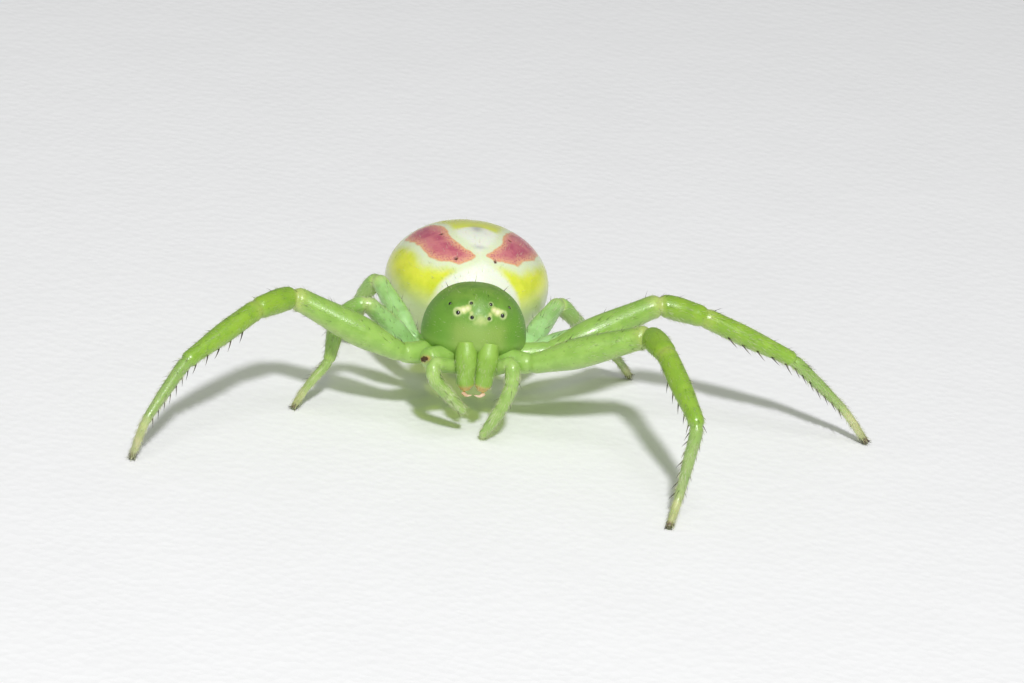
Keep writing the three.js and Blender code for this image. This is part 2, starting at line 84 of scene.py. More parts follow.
def unit(vectors):
    vectors = np.asarray(vectors, dtype=float)
    return vectors / np.maximum(np.linalg.norm(vectors, axis=-1, keepdims=True), 1e-9)


def smoothStep(low, high, value):
    share = np.clip((np.asarray(value, dtype=float) - low) / (high - low), 0, 1)
    return share * share * (3 - 2 * share)


def hump(value, centre, width):
    return np.exp(-((np.asarray(value) - centre) / width) ** 2)


def humpAt(points, centre, width):
    return hump(np.linalg.norm(points - centre, axis=1), 0, width)


def smoothBetween(places, stations, values):
    stations = np.asarray(stations, dtype=float)
    values = np.asarray(values, dtype=float)
    index = np.clip(np.searchsorted(stations, places) - 1, 0, len(stations) - 2)
    share = smoothStep(0, 1, (places - stations[index]) / (stations[index + 1] - stations[index]))
    return values[index] + (values[index + 1] - values[index]) * share


# Meshes
def setField(mesh, name, values):
    values = np.asarray(values, dtype=np.float32)
    kind, prop = ("FLOAT", "value") if values.ndim == 1 else ("FLOAT_VECTOR", "vector")
    mesh.attributes.new(name, kind, "POINT").data.foreach_set(prop, values.ravel())


def addObject(name, data, matrix=None):
    thing = bpy.data.objects.new(name, data)
    if matrix:
        thing.matrix_world = matrix
    bpy.context.scene.collection.objects.link(thing)
    return thing


def placePiece(name, slot, mesh, *nodes):
    mesh.shade_smooth()
    piece = addObject(name, mesh)
    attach(piece, "root")
    if nodes:
        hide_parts(*nodes)


def addPiece(name, slot, material, points, faces, *nodes, **fields):
    mesh = bpy.data.meshes.new(name)
    mesh.from_pydata([tuple(point) for point in toFrame(points)], [], faces)
    for key, values in fields.items():
        setField(mesh, key, values)
    mesh.materials.append(materials[material])
    placePiece(name, slot, mesh, *nodes)


def closeRings(rings, startPoint, endPoint):
    count, sides = rings.shape[:2]
    points = np.concatenate([[startPoint], rings.reshape(-1, 3), [endPoint]])
    last = len(points) - 1
    faces = []
    for side in range(sides):
        after = (side + 1) % sides
        faces.append((0, 1 + after, 1 + side))
        faces.append((last, 1 + (count - 1) * sides + side, 1 + (count - 1) * sides + after))
        for ring in range(count - 1):
            low = 1 + ring * sides
            high = low + sides
            faces.append((low + side, low + after, high + after, high + side))
    return points, faces


def closeGlobe(pointsAt, around, upward):
    latitude = -math.pi / 2 + math.pi * np.arange(1, upward) / upward
    longitude = 2 * math.pi * np.arange(around) / around
    grid = np.meshgrid(longitude, latitude)
    poles = pointsAt(np.zeros(2), np.array([-math.pi / 2, math.pi / 2]))
    return closeRings(pointsAt(*grid), poles[0], poles[1])


def joinParts(parts):
    points, faces, start = [], [], 0
    for partPoints, partFaces in parts:
        points.append(partPoints)
        faces += [tuple(start + corner for corner in face) for face in partFaces]
        start += len(partPoints)
    return np.concatenate(points), faces


# Limbs: a path with rounded corners, and frames along it that don't twist
cornerSteps = 17
limbSamples = 500


def makeLimb(points, reach):
    points = [np.asarray(point, dtype=float) for point in points]
    line, cornerIndex = [points[0]], [0]
    for before, corner, after in zip(points, points[1:], points[2:]):
        lengthBefore = np.linalg.norm(corner - before)
        lengthAfter = np.linalg.norm(after - corner)
        cut = min(reach, 0.4 * lengthBefore, 0.4 * lengthAfter)
        enter = corner + (before - corner) * cut / lengthBefore
        leave = corner + (after - corner) * cut / lengthAfter
        for t in np.linspace(0, 1, cornerSteps):
            line.append((1 - t) ** 2 * enter + 2 * t * (1 - t) * corner + t ** 2 * leave)
        cornerIndex.append(len(line) - 1 - cornerSteps // 2)
    line.append(points[-1])
    cornerIndex.append(len(line) - 1)
    line = np.array(line)
    lineRun = np.concatenate([[0], np.cumsum(np.linalg.norm(np.diff(line, axis=0), axis=1))])
    run = np.linspace(0, lineRun[-1], limbSamples)
    position = np.stack([np.interp(run, lineRun, line[:, axis]) for axis in range(3)], axis=1)
    along = unit(np.gradient(position, axis=0))
    dorsal = np.zeros_like(along)
    up = np.array([0.0, 0.0, 1.0])
    for index, direction in enumerate(along):
        up = unit(up - direction * np.dot(up, direction))
        dorsal[index] = up
    return {
        "run": run, "position": position, "along": along, "dorsal": dorsal,
        "side": np.cross(along, dorsal), "corners": lineRun[cornerIndex],
    }


def limbAt(limb, run):
    parts = {}
    for key in ("position", "along", "dorsal", "side"):
        values = [np.interp(run, limb["run"], limb[key][:, axis]) for axis in range(3)]
        parts[key] = np.stack(values, axis=-1)
    return parts


def limbPoint(limb, run, turn, radius):
    at = limbAt(limb, run)
    outward = at["side"] * np.cos(turn)[..., None] - at["dorsal"] * np.sin(turn)[..., None]
    return at["position"] + outward * np.asarray(radius)[..., None], outward, at["along"]


def tubeSkin(limb, runs, radii, sides, close=0.4):
    turns = 2 * math.pi * np.arange(sides) / sides
    runGrid, turnGrid = np.meshgrid(runs, turns, indexing="ij")
    radiusGrid = np.repeat(radii[:, None], sides, axis=1)
    rings = limbPoint(limb, runGrid, turnGrid, radiusGrid)[0]
    start = limbAt(limb, runs[0])["position"]
    end = limbAt(limb, runs[-1])["position"] + limbAt(limb, runs[-1])["along"] * radii[-1] * close
    points, faces = closeRings(rings, start, end)
    run = np.concatenate([[runs[0]], runGrid.ravel(), [runs[-1]]])
    back = np.concatenate([[0], -np.sin(turnGrid).ravel(), [0]])
    return points, faces, run, back


# Head and thorax
head = {
    "centre": np.array([0.0, -0.08, 2.1]),
    "pitch": math.radians(11),
    "halfWidth": 1.22,
    "halfLength": 1.2,
    "height": 1.24,
    "depth": 0.56,
    "browWidth": 0.72,
    "planPower": 2.3,
    "around": 260,
    "upward": 170,
}


def headPoints(longitude, latitude):
    forward, sideways = -np.sin(longitude), np.cos(longitude)
    front = np.maximum(forward, 0)
    power = head["planPower"]
    reach = (np.abs(sideways / head["halfWidth"]) ** power
             + np.abs(forward / head["halfLength"]) ** power) ** (-1 / power)
    narrowing = 1 - (1 - head["browWidth"]) * front ** 3
    up = np.sin(latitude)
    flatness = np.where(up > 0, 0.9 - 0.42 * front ** 2, 1.25)
    inward = np.abs(np.cos(latitude)) ** flatness
    height = np.where(up > 0, head["height"] * np.abs(up) ** 0.95, head["depth"] * up)
    x = sideways * reach * narrowing * inward
    y = -forward * reach * inward
    cosPitch, sinPitch = math.cos(-head["pitch"]), math.sin(-head["pitch"])
    turned = np.stack([x, y * cosPitch - height * sinPitch, y * sinPitch + height * cosPitch], axis=-1)
    return turned + head["centre"]


def outwardAt(pointsAt, longitude, latitude):
    step = 0.01
    east = pointsAt(longitude + step, latitude) - pointsAt(longitude - step, latitude)
    north = pointsAt(longitude, latitude + step) - pointsAt(longitude, latitude - step)
    return unit(np.cross(east, north))


# A search over the dome in longitude and latitude, on a grid that shrinks each round
search = {"middle": (-math.pi / 2, 0.7), "span": (1.4, 0.85), "rounds": 7, "grid": 41, "shrink": 0.25,
          "steepest": 1.55}


# The point of the dome, and its outward direction, at a place seen square from the front
def faceAt(side, height):
    wanted = np.array([side, head["centre"][2] + height + head["halfLength"] * math.sin(head["pitch"])])
    middle, span = np.array(search["middle"]), np.array(search["span"])
    steps = np.linspace(-1, 1, search["grid"])
    for _ in range(search["rounds"]):
        longitude, latitude = np.meshgrid(*(middle[:, None] + span[:, None] * steps))
        points = headPoints(longitude, np.clip(latitude, 0, search["steepest"]))
        miss = np.hypot(points[..., 0] - wanted[0], points[..., 2] - wanted[1])
        best = np.unravel_index(np.argmin(miss), miss.shape)
        middle = np.array([longitude[best], latitude[best]])
        span = span * search["shrink"]
    return headPoints(*middle), outwardAt(headPoints, *middle)


eyes = {
    "anterior_median": {"side": 0.2, "height": 0.6, "radius": 0.045},
    "posterior_median": {"side": 0.23, "height": 0.87, "radius": 0.04},
    "anterior_lateral": {"side": 0.515, "height": 0.63, "radius": 0.062},
    "posterior_lateral": {"side": 0.69, "height": 0.73, "radius": 0.045},
}
eyeSunk = 0.35
tubercle = {"side": 0.59, "height": 0.68, "rise": 0.065, "width": 0.16}
# Pale patches between the eyes: side and height of the middle, width, strength
creamSpots = [(0.39, 0.71, 0.11, 1.0), (0.31, 0.76, 0.1, 0.95), (0.46, 0.69, 0.08, 0.8),
              (0.22, 0.68, 0.08, 0.62), (0.0, 0.57, 0.2, 0.5), (0.1, 0.52, 0.12, 0.45)]
eyeSeats = {}
for eyeName, eye in eyes.items():
    for sideName, side in (("left", 1), ("right", -1)):
        eyeSeats[f"eye_{eyeName}_{sideName}"] = (*faceAt(side * eye["side"], eye["height"]), eye["radius"])


# Materials
def srgb(red, green, blue):
    values = [channel / 255 for channel in (red, green, blue)]
    linear = [value / 12.92 if value <= 0.04045 else ((value + 0.055) / 1.055) ** 2.4 for value in values]
    return (*linear, 1.0)


def connect(tree, value, socket):
    if isinstance(value, bpy.types.NodeSocket):
        tree.links.new(value, socket)
    else:
        socket.default_value = value


def addNode(tree, kind, settings=None, **inputs):
    node = tree.nodes.new(kind)
    for key, value in (settings or {}).items():
        setattr(node, key, value)
    for key, value in inputs.items():
        connect(tree, value, node.inputs[key.replace("_", " ")])
    return node


def compute(tree, operation, *values):
    node = addNode(tree, "ShaderNodeMath", {"operation": operation})
    for value, socket in zip(values, node.inputs):
        connect(tree, value, socket)
    return node.outputs[0]


# Tones laid over a base in turn, each as strongly as its factor says
def mixTones(tree, base, *layers):
    for factor, tone in layers:
        node = addNode(tree, "ShaderNodeMix", {"data_type": "RGBA"})
        for index, value in ((0, factor), (6, base), (7, tone)):
            connect(tree, srgb(*value) if isinstance(value, tuple) else value, node.inputs[index])
        base = node.outputs[2]
    return base


def readField(tree, name):
    return addNode(tree, "ShaderNodeAttribute", {"attribute_name": name}).outputs["Fac"]


def fade(tree, value, low, high, most=1.0):
    node = addNode(tree, "ShaderNodeMapRange", {"interpolation_type": "SMOOTHSTEP"}, Value=value,
                   From_Min=low, From_Max=high, To_Max=most)
    return node.outputs["Result"]


def startGroup(name, kind, inputs, outputs):
    tree = bpy.data.node_groups.new(name, kind)
    for direction, sockets in (("INPUT", inputs), ("OUTPUT", outputs)):
        for socketName, socketKind in sockets.items():
            tree.interface.new_socket(socketName, in_out=direction, socket_type=f"NodeSocket{socketKind}")
    return tree, tree.nodes.new("NodeGroupInput").outputs


def makeCuticleGroup():
    inputs = {"Grain Size": "Float", "Mottle Size": "Float"}
    outputs = {"Grain": "Float", "Mottle": "Float", "Freckle": "Float"}
    tree, given = startGroup("cuticleGrain", "ShaderNodeTree", inputs, outputs)
    place = tree.nodes.new("ShaderNodeTexCoord").outputs["Object"]
    perMillimetre = 1 / mm
    grainScale = compute(tree, "DIVIDE", perMillimetre, given["Grain Size"])
    mottleScale = compute(tree, "DIVIDE", perMillimetre, given["Mottle Size"])
    cells = addNode(tree, "ShaderNodeTexVoronoi", Vector=place, Scale=grainScale)
    fine = addNode(tree, "ShaderNodeTexNoise", Vector=place, Scale=grainScale, Detail=3.0, Roughness=0.6)
    broad = addNode(tree, "ShaderNodeTexNoise", Vector=place, Scale=mottleScale, Detail=4.0, Roughness=0.55)
    freckleScale = compute(tree, "MULTIPLY", grainScale, 0.22)
    spots = addNode(tree, "ShaderNodeTexVoronoi", Vector=place, Scale=freckleScale)
    grain = compute(tree, "MULTIPLY_ADD", fine.outputs[0], 0.5, cells.outputs["Distance"])
    freckle = fade(tree, spots.outputs["Distance"], 0.16, 0.08)
    addNode(tree, "NodeGroupOutput", Grain=grain, Mottle=broad.outputs[0], Freckle=freckle)
    return tree


cuticleGroup = makeCuticleGroup()


def makeSkin(name, paint, roughness, relief=0.004, subsurface=0.3, coat=0.3, grain=0.03, mottle=0.3,
             passing=0.48):
    material = bpy.data.materials.new(name)
    material.use_nodes = True
    tree = material.node_tree
    tree.nodes.clear()
    skin = addNode(tree, "ShaderNodeGroup", {"node_tree": cuticleGroup}, Grain_Size=grain,
                   Mottle_Size=mottle).outputs
    gloss = addNode(tree, "ShaderNodeMapRange", Value=skin["Mottle"], To_Min=roughness[0],
                    To_Max=roughness[1])
    bump = addNode(tree, "ShaderNodeBump", Height=skin["Grain"], Distance=relief * mm, Strength=1.0)
    surface = addNode(
        tree, "ShaderNodeBsdfPrincipled", Base_Color=paint(tree, skin), Roughness=gloss.outputs["Result"],
        Normal=bump.outputs[0], Subsurface_Weight=subsurface, Subsurface_Radius=(0.7, 1.0, 0.35),
        Subsurface_Scale=0.35 * mm, Coat_Weight=coat, Coat_Roughness=0.22, IOR=1.5).outputs[0]
    if subsurface:
        # A living body lets some light through, which tints its shadow
        isShadow = tree.nodes.new("ShaderNodeLightPath").outputs["Is Shadow Ray"]
        clear = addNode(tree, "ShaderNodeBsdfTransparent", Color=(0.85, 1.0, 0.02, 1.0))
        mix = tree.nodes.new("ShaderNodeMixShader")
        passed = compute(tree, "MULTIPLY", isShadow, passing)
        for value, socket in zip((passed, surface, clear.outputs[0]), mix.inputs):
            connect(tree, value, socket)
        surface = mix.outputs[0]
    addNode(tree, "ShaderNodeOutputMaterial", Surface=surface)
    return material


def paintLeg(tones):
    def paint(tree, skin):
        ramp = tree.nodes.new("ShaderNodeValToRGB")
        connect(tree, compute(tree, "DIVIDE", readField(tree, "run"), lastStation), ramp.inputs[0])
        elements = ramp.color_ramp.elements
        while len(elements) < len(tones):
            elements.new(0.5)
        for element, (place, tone) in zip(elements, tones):
            element.position = place / lastStation
            element.color = srgb(*tone)
        return mixTones(
            tree, ramp.outputs[0],
            (fade(tree, readField(tree, "back"), -0.1, -0.9, 0.4), (196, 212, 146)),
            (fade(tree, skin["Mottle"], 0.62, 0.38, 0.3), (104, 150, 48)),
            (compute(tree, "MULTIPLY", skin["Freckle"], 0.4), (84, 106, 40)),
            (fade(tree, readField(tree, "socket"), 0.35, 0.75), (62, 52, 34)),
            (readField(tree, "scar"), (192, 164, 92)),
        )

    return paint


def paintCarapace(tree, skin):
    edge = compute(tree, "MULTIPLY_ADD", skin["Mottle"], 0.4, readField(tree, "cream"))
    return mixTones(
        tree, (118, 158, 58),
        (fade(tree, skin["Mottle"], 0.6, 0.35), (102, 146, 48)),
        (readField(tree, "face"), (138, 170, 76)),
        (readField(tree, "flank"), (108, 160, 54)),
        (readField(tree, "under"), (154, 194, 92)),
        (fade(tree, edge, 0.4, 0.95), (196, 208, 128)),
        (fade(tree, edge, 0.85, 1.2), (228, 226, 176)),
        (compute(tree, "MULTIPLY", readField(tree, "ring"), 0.55), (222, 224, 170)),
    )


def paintAbdomen(tree, skin):
    wobble = compute(tree, "MULTIPLY", compute(tree, "SUBTRACT", skin["Mottle"], 0.5), 0.18)
    white = compute(tree, "ADD", readField(tree, "white"), wobble)
    rose = compute(tree, "ADD", readField(tree, "rose"), compute(tree, "MULTIPLY", wobble, 0.6))
    speck = compute(tree, "MULTIPLY", fade(tree, skin["Grain"], 0.45, 0.8), fade(tree, rose, 0.1, -0.02))
    blush = mixTones(
        tree, (186, 84, 110),
        (fade(tree, skin["Mottle"], 0.4, 0.62), (210, 126, 130)),
        (speck, (232, 176, 140)),
    )
    return mixTones(
        tree, (230, 236, 74),
        (fade(tree, skin["Mottle"], 0.6, 0.35), (214, 224, 60)),
        (readField(tree, "low"), (214, 226, 176)),
        (readField(tree, "rear"), (218, 224, 112)),
        (fade(tree, white, -0.13, 0.12), (236, 240, 222)),
        (fade(tree, rose, -0.16, -0.05), (224, 234, 196)),
        (fade(tree, rose, -0.035, -0.008), (226, 170, 120)),
        (fade(tree, rose, -0.026, 0.012), blush),
        (compute(tree, "MULTIPLY", readField(tree, "grey"), 0.6), (150, 150, 150)),
        (readField(tree, "dot"), (96, 48, 36)),
    )


def paintJaw(tree, skin):
    length = compute(tree, "MULTIPLY_ADD", skin["Mottle"], 0.16, readField(tree, "run"))
    return mixTones(
        tree, (148, 186, 80),
        (fade(tree, skin["Mottle"], 0.6, 0.35), (136, 175, 66)),
        (fade(tree, length, 0.9, 1.02), (204, 176, 104)),
    )


def plainSkin(name, base, dark, light, roughness=0.35, **look):
    def paint(tree, skin):
        return mixTones(
            tree, base,
            (fade(tree, skin["Mottle"], 0.55, 0.3), dark),
            (fade(tree, skin["Mottle"], 0.5, 0.75), light),
        )

    return makeSkin(name, paint, (roughness * 0.8, roughness * 1.25), **look)


# Tones along a leg, from station 0 at the coxa's root and 1 at the femur's to the tip of the tarsus
lastStation = 6
frontTones = [(0.0, (154, 194, 96)), (1.0, (157, 195, 96)), (1.85, (150, 188, 84)), (2.0, (184, 200, 110)),
              (2.12, (138, 174, 54)), (2.95, (146, 182, 52)), (3.03, (168, 190, 84)), (3.12, (146, 182, 54)),
              (3.95, (146, 184, 62)), (4.05, (148, 180, 94)), (4.9, (164, 186, 118)), (5.15, (196, 200, 140)),
              (5.75, (200, 196, 146)), (5.88, (124, 100, 84)), (6.0, (78, 56, 54))]
rearTones = [(0.0, (170, 208, 132)), (1.0, (172, 216, 146)), (1.85, (162, 206, 124)), (2.0, (190, 210, 130)),
             (2.12, (150, 192, 98)), (3.0, (148, 188, 86)), (3.95, (152, 186, 84)), (4.05, (160, 190, 104)),
             (4.9, (170, 190, 114)), (5.15, (194, 198, 136)), (5.75, (198, 194, 142)), (5.88, (126, 100, 84)),
             (6.0, (82, 58, 54))]
legLook = {"subsurface": 0.35, "grain": 0.035, "mottle": 0.35, "passing": 0.3}
materials = {
    "frontLeg": makeSkin("frontLegSkin", paintLeg(frontTones), (0.22, 0.42), **legLook),
    "rearLeg": makeSkin("rearLegSkin", paintLeg(rearTones), (0.22, 0.42), **legLook),
    "carapace": makeSkin("carapaceSkin", paintCarapace, (0.42, 0.58), relief=0.005, subsurface=0.25,
                         coat=0.08, grain=0.035),
    "abdomen": makeSkin("abdomenSkin", paintAbdomen, (0.22, 0.38), coat=0.4, grain=0.05, mottle=0.5,
                        passing=0.32),
    "palp": plainSkin("palpSkin", (158, 192, 100), (146, 184, 88), (174, 204, 118)),
    "jaw": makeSkin("jawSkin", paintJaw, (0.34, 0.5), subsurface=0.35, coat=0.12, grain=0.035),
    "fang": plainSkin("fangHorn", (232, 200, 176), (206, 164, 132), (242, 218, 200), roughness=0.2,
                      relief=0.001),
    "waist": plainSkin("waistSkin", (176, 208, 130), (150, 190, 100), (196, 220, 152), roughness=0.5),
    "spinneret": plainSkin("spinneretSkin", (206, 208, 140), (182, 188, 110), (222, 222, 166), roughness=0.5),
    "scab": plainSkin("scabCrust", (78, 56, 24), (46, 30, 16), (128, 98, 50), roughness=0.75, subsurface=0.0,
                      coat=0.0, relief=0.02, grain=0.06),
    "spine": plainSkin("spineHorn", (58, 46, 34), (34, 26, 22), (92, 78, 50), subsurface=0.0, relief=0.001),
    "hair": plainSkin("hairHorn", (218, 222, 180), (190, 196, 140), (240, 242, 214), subsurface=0.0,
                      relief=0.001),
    "eye": plainSkin("eyeLens", (16, 12, 10), (8, 6, 6), (48, 32, 22), roughness=0.06, subsurface=0.0,
                     coat=1.0, relief=0.0004, grain=0.012),
    "claw": plainSkin("clawHorn", (56, 36, 34), (36, 24, 24), (84, 58, 50), subsurface=0.0, relief=0.001),
}
print("materials ready")


# Carapace: the dome with its low tubercles, shallow grooves and the colour of each region
carapace = {
    "seatRim": 0.012, "seatDepth": 0.03,  # the rim round each eye and the seat within it
    "grooves": [0.75, 1.35, 1.95],  # bearings in radians from the rear
    "grooveWidth": 0.13, "grooveDepth": 0.014,
    "fovea": 0.25,  # how far behind the middle the grooves meet
    "maxilla": {"side": 0.27, "forward": -0.78, "height": 1.68, "size": (0.18, 0.31, 0.21)},
}
largestEye = max(eye["radius"] for eye in eyes.values())


def shapeSeats(points):
    lift, ring = np.zeros(len(points)), np.zeros(len(points))
    for seat, _, radius in eyeSeats.values():
        distance = np.linalg.norm(points - seat, axis=1)
        lift += carapace["seatRim"] * hump(distance, radius * 1.6, radius * 0.7)
        lift -= carapace["seatDepth"] * hump(distance, 0, radius * 0.9)
        hasRing = seat[1] < -0.7  # the rear side eyes have none
        ring = np.maximum(ring, hasRing * radius / largestEye * hump(distance, radius * 1.25, radius * 0.4))
    return lift, ring


def shapeTubercles(points):
    lift, cream = np.zeros(len(points)), np.zeros(len(points))
    for mirror in (1, -1):
        top = faceAt(mirror * tubercle["side"], tubercle["height"])[0]
        lift += tubercle["rise"] * humpAt(points, top, tubercle["width"])
        for side, height, width, strength in creamSpots:
            spot = faceAt(mirror * side, height)[0]
            cream = np.maximum(cream, strength * humpAt(points, spot, width))
    return lift, cream


def makeCarapace():
    points, faces = closeGlobe(headPoints, head["around"], head["upward"])
    local = points - head["centre"]
    side, rear, rise = local.T
    seatLift, ring = shapeSeats(points)
    tubercleLift, cream = shapeTubercles(points)
    bearing = np.abs(np.arctan2(side, rear - carapace["fovea"]))
    distanceOut = np.hypot(side, rear - carapace["fovea"])
    grooves = sum(hump(bearing, place, carapace["grooveWidth"]) for place in carapace["grooves"])
    grooved = smoothStep(0.25, 0.6, distanceOut) * smoothStep(1.25, 0.9, distanceOut) * (rise > 0)
    lift = seatLift + tubercleLift - carapace["grooveDepth"] * grooves * grooved
    outward = unit(local * np.array([1, 1, 1.2]))
    face = smoothStep(0.2, -0.5, rear) * smoothStep(1.0, 0.5, rise) * smoothStep(0.85, 0.45, np.abs(side))
    addPiece(
        "carapace_skin", "carapace", "carapace", points + outward * lift[:, None], faces, "cephalothorax",
        face=face,
        flank=smoothStep(0.6, 1.05, np.hypot(side, rear)) * (1 - face) * 0.7,
        under=smoothStep(0.3, -0.14, rise),
        cream=cream,
        ring=np.clip(ring, 0, 1),
    )


def ballPoints(centre, size):
    def pointsAt(longitude, latitude):
        across = size[0] * np.cos(latitude) * np.cos(longitude)
        forward = size[1] * np.cos(latitude) * np.sin(longitude)
        return centre + np.stack([across, forward, size[2] * np.sin(latitude)], axis=-1)

    return pointsAt


# The maxillae, between the jaws and the palps
def makeMaxillae():
    maxilla = carapace["maxilla"]
    parts = []
    for mirror in (1, -1):
        middle = np.array([mirror * maxilla["side"], maxilla["forward"], maxilla["height"]])
        parts.append(closeGlobe(ballPoints(middle, maxilla["size"]), 48, 32))
    addPiece("maxillae_skin", "carapace", "palp", *joinParts(parts))


def makeEyes():
    for eyeNode, (seat, normal, radius) in eyeSeats.items():
        lens = closeGlobe(ballPoints(seat - normal * radius * eyeSunk, (radius,) * 3), 28, 18)
        addPiece(f"{eyeNode}_lens", "eye", "eye", *lens, eyeNode)


makeCarapace()
makeMaxillae()
makeEyes()
print("head ready")


# Abdomen: a smooth egg with a rose patch on each side of a white band
def abdomenPoints(longitude, latitude):
    back = np.cos(latitude) * np.sin(longitude)
    sideways = np.cos(latitude) * np.cos(longitude) * (1 + abdomen["rearSwell"] * back)
    return abdomen["centre"] + np.stack([sideways, back, np.sin(latitude)], axis=-1) * abdomen["halfSize"]


def depthInside(x, y, outline):
    points = np.stack([x, y], axis=1)
    nearest = np.full(len(x), 9.0)
    inside = np.zeros(len(x), dtype=bool)
    for start, end in zip(outline, outline[1:] + outline[:1]):
        start, end = np.array(start), np.array(end)
        edge = end - start
        share = np.clip(((points - start) @ edge) / (edge @ edge), 0, 1)
        nearest = np.minimum(nearest, np.linalg.norm(points - start - share[:, None] * edge, axis=1))
        crosses = (start[1] > y) != (end[1] > y)
        crossing = start[0] + (y - start[1]) / (edge[1] if edge[1] else 1e-9) * edge[0]
        inside ^= crosses & (x < crossing)
    return np.where(inside, nearest, -nearest)


def makeAbdomen():
    points, faces = closeGlobe(abdomenPoints, abdomen["around"], abdomen["upward"])
    x, y, z = ((points - abdomen["centre"]) / abdomen["halfSize"]).T
    fromBand = x - abdomen["bandSide"]
    upper = smoothStep(0.1, 0.4, z)
    rose = np.maximum(*(depthInside(x, y, outline) for outline in abdomen["patches"]))
    rose = np.where(z > 0.1, rose, -1)
    whiteHalf = np.interp(y, *zip(*abdomen["whiteWidths"]))
    dot = np.zeros(len(points))
    for pitX, pitY in abdomen["pits"]:
        away = np.hypot(x - pitX, y - pitY) + (z < 0)
        dot = np.maximum(dot, smoothStep(abdomen["pitRadius"] * 1.2, abdomen["pitRadius"] * 0.6, away))
    grey = np.zeros(len(points))
    for place, across, along, width, strength in abdomen["greySpots"]:
        grey = np.maximum(grey, strength * hump(np.hypot(fromBand * across, (y - place) * along), 0, width))
    furrow = hump(fromBand, 0, 0.05) * upper * smoothStep(-0.8, -0.5, y)
    sink = abdomen["pitDepth"] * dot + abdomen["furrowDepth"] * furrow
    outward = unit((points - abdomen["centre"]) / abdomen["halfSize"] ** 2)
    addPiece(
        "abdomen_skin", "abdomen", "abdomen", points - outward * sink[:, None], faces, "abdomen",
        rose=rose,
        white=whiteHalf - np.abs(fromBand) - 0.9 * smoothStep(0.05, -0.5, z),
        dot=dot,
        grey=grey * (z > 0),
        low=smoothStep(0.36, -0.1, z),
        rear=smoothStep(-0.15, 0.3, y) * upper,
    )


makeAbdomen()
print("abdomen ready")

# Waist: a short stalk with soft rings
waist = {"radius": 0.19, "height": 1.78, "front": 0.7, "rear": 1.8, "rings": 4}


def makeWaist():
    length = waist["rear"] - waist["front"]
    limb = makeLimb([(0, waist["front"], waist["height"]), (0, waist["rear"], waist["height"])], 0)
    runs = np.linspace(0, length, 60)
    radii = waist["radius"] * (0.96 + 0.05 * np.cos(runs * 2 * math.pi * waist["rings"]))
    points, faces = tubeSkin(limb, runs, radii, 32)[:2]
    addPiece("pedicel_skin", "waist", "waist", points, faces, "pedicel")


# Spinnerets: two rows of two cones, each with a joint near its tip
spinneret = {
    "root": 4.86, "height": 1.12, "spread": 0.13, "length": 0.36, "rootRadius": 0.12, "tipRadius": 0.05,
    "rowGap": 0.14, "buried": 0.3, "drop": 0.12, "rowRise": 0.2, "rowShorter": 0.25, "rings": 30, "sides": 20,
}


def makeSpinnerets():
    parts = []
    middle = abdomen["centre"][0]
    for mirror, row in ((1, 0), (-1, 0), (1, 1), (-1, 1)):
        side = mirror * spinneret["spread"]
        start = (middle + side * 0.8, spinneret["root"] - spinneret["buried"],
                 spinneret["height"] + row * spinneret["rowGap"])
        length = spinneret["length"] * (1 - spinneret["rowShorter"] * row)
        end = (middle + side * 0.55, spinneret["root"] + length,
               spinneret["height"] - spinneret["drop"] + row * spinneret["rowRise"])
        limb = makeLimb([start, end], 0)
        runs = np.linspace(0, limb["run"][-1], spinneret["rings"])
        share = runs / runs[-1]
        radii = spinneret["rootRadius"] * (1 - share) + spinneret["tipRadius"] * share
        radii = radii * (1 - 0.16 * hump(share, 0.62, 0.04)) * (1 - 0.5 * smoothStep(0.93, 1, share))
        parts.append(tubeSkin(limb, runs, radii, spinneret["sides"])[:2])
    addPiece("spinneret_skin", "spinneret", "spinneret", *joinParts(parts), "spinnerets")


makeWaist()
makeSpinnerets()

# Jaws and fangs
jaw = {
    "top": (0.265, -1.06, 2.3), "bottom": (0.195, -1.3, 1.24), "topRadius": 0.245, "bottomRadius": 0.17,
    "kneeShare": 0.35, "kneeForward": 0.09, "bend": 0.3, "skin": 0.012, "rings": 70, "sides": 40,
    "fang": [(0.25, -1.31, 1.175), (0.16, -1.36, 1.105), (0.035, -1.33, 1.12)],
    "fangRadius": 0.055, "fangTip": 0.01, "fangBend": 0.06, "fangTaper": 1.2, "fangRings": 24,
    "fangSides": 16,
}


def jawRadius(share):
    widths = [0.9 * jaw["topRadius"], jaw["topRadius"], 1.2 * jaw["bottomRadius"], jaw["bottomRadius"]]
    radius = smoothBetween(share, [0, 0.3, 0.8, 1], widths)
    return (radius + jaw["skin"]) * np.sqrt(1 - 0.6 * smoothStep(0.88, 1.0, share))


def makeJaw(sideName, mirror):
    start, end = (np.array(jaw[key]) * (mirror, 1, 1) for key in ("top", "bottom"))
    knee = start + (end - start) * jaw["kneeShare"] - (0, jaw["kneeForward"], 0)
    limb = makeLimb([start, knee, end], jaw["bend"])
    runs = np.linspace(0, limb["run"][-1], jaw["rings"])
    points, faces, run, _ = tubeSkin(limb, runs, jawRadius(runs / runs[-1]), jaw["sides"])
    addPiece(f"chelicera_{sideName}_skin", "jaw", "jaw", points, faces, f"chelicera_{sideName}",
             run=run / runs[-1])
    return limb


def makeFang(sideName, mirror):
    limb = makeLimb([np.array(point) * (mirror, 1, 1) for point in jaw["fang"]], jaw["fangBend"])
    runs = np.linspace(0, limb["run"][-1], jaw["fangRings"])
    radii = jaw["fangRadius"] + (jaw["fangTip"] - jaw["fangRadius"]) * (runs / runs[-1]) ** jaw["fangTaper"]
    points, faces = tubeSkin(limb, runs, radii, jaw["fangSides"])[:2]
    addPiece(f"fang_{sideName}_horn", "fang", "fang", points, faces, f"fang_{sideName}")


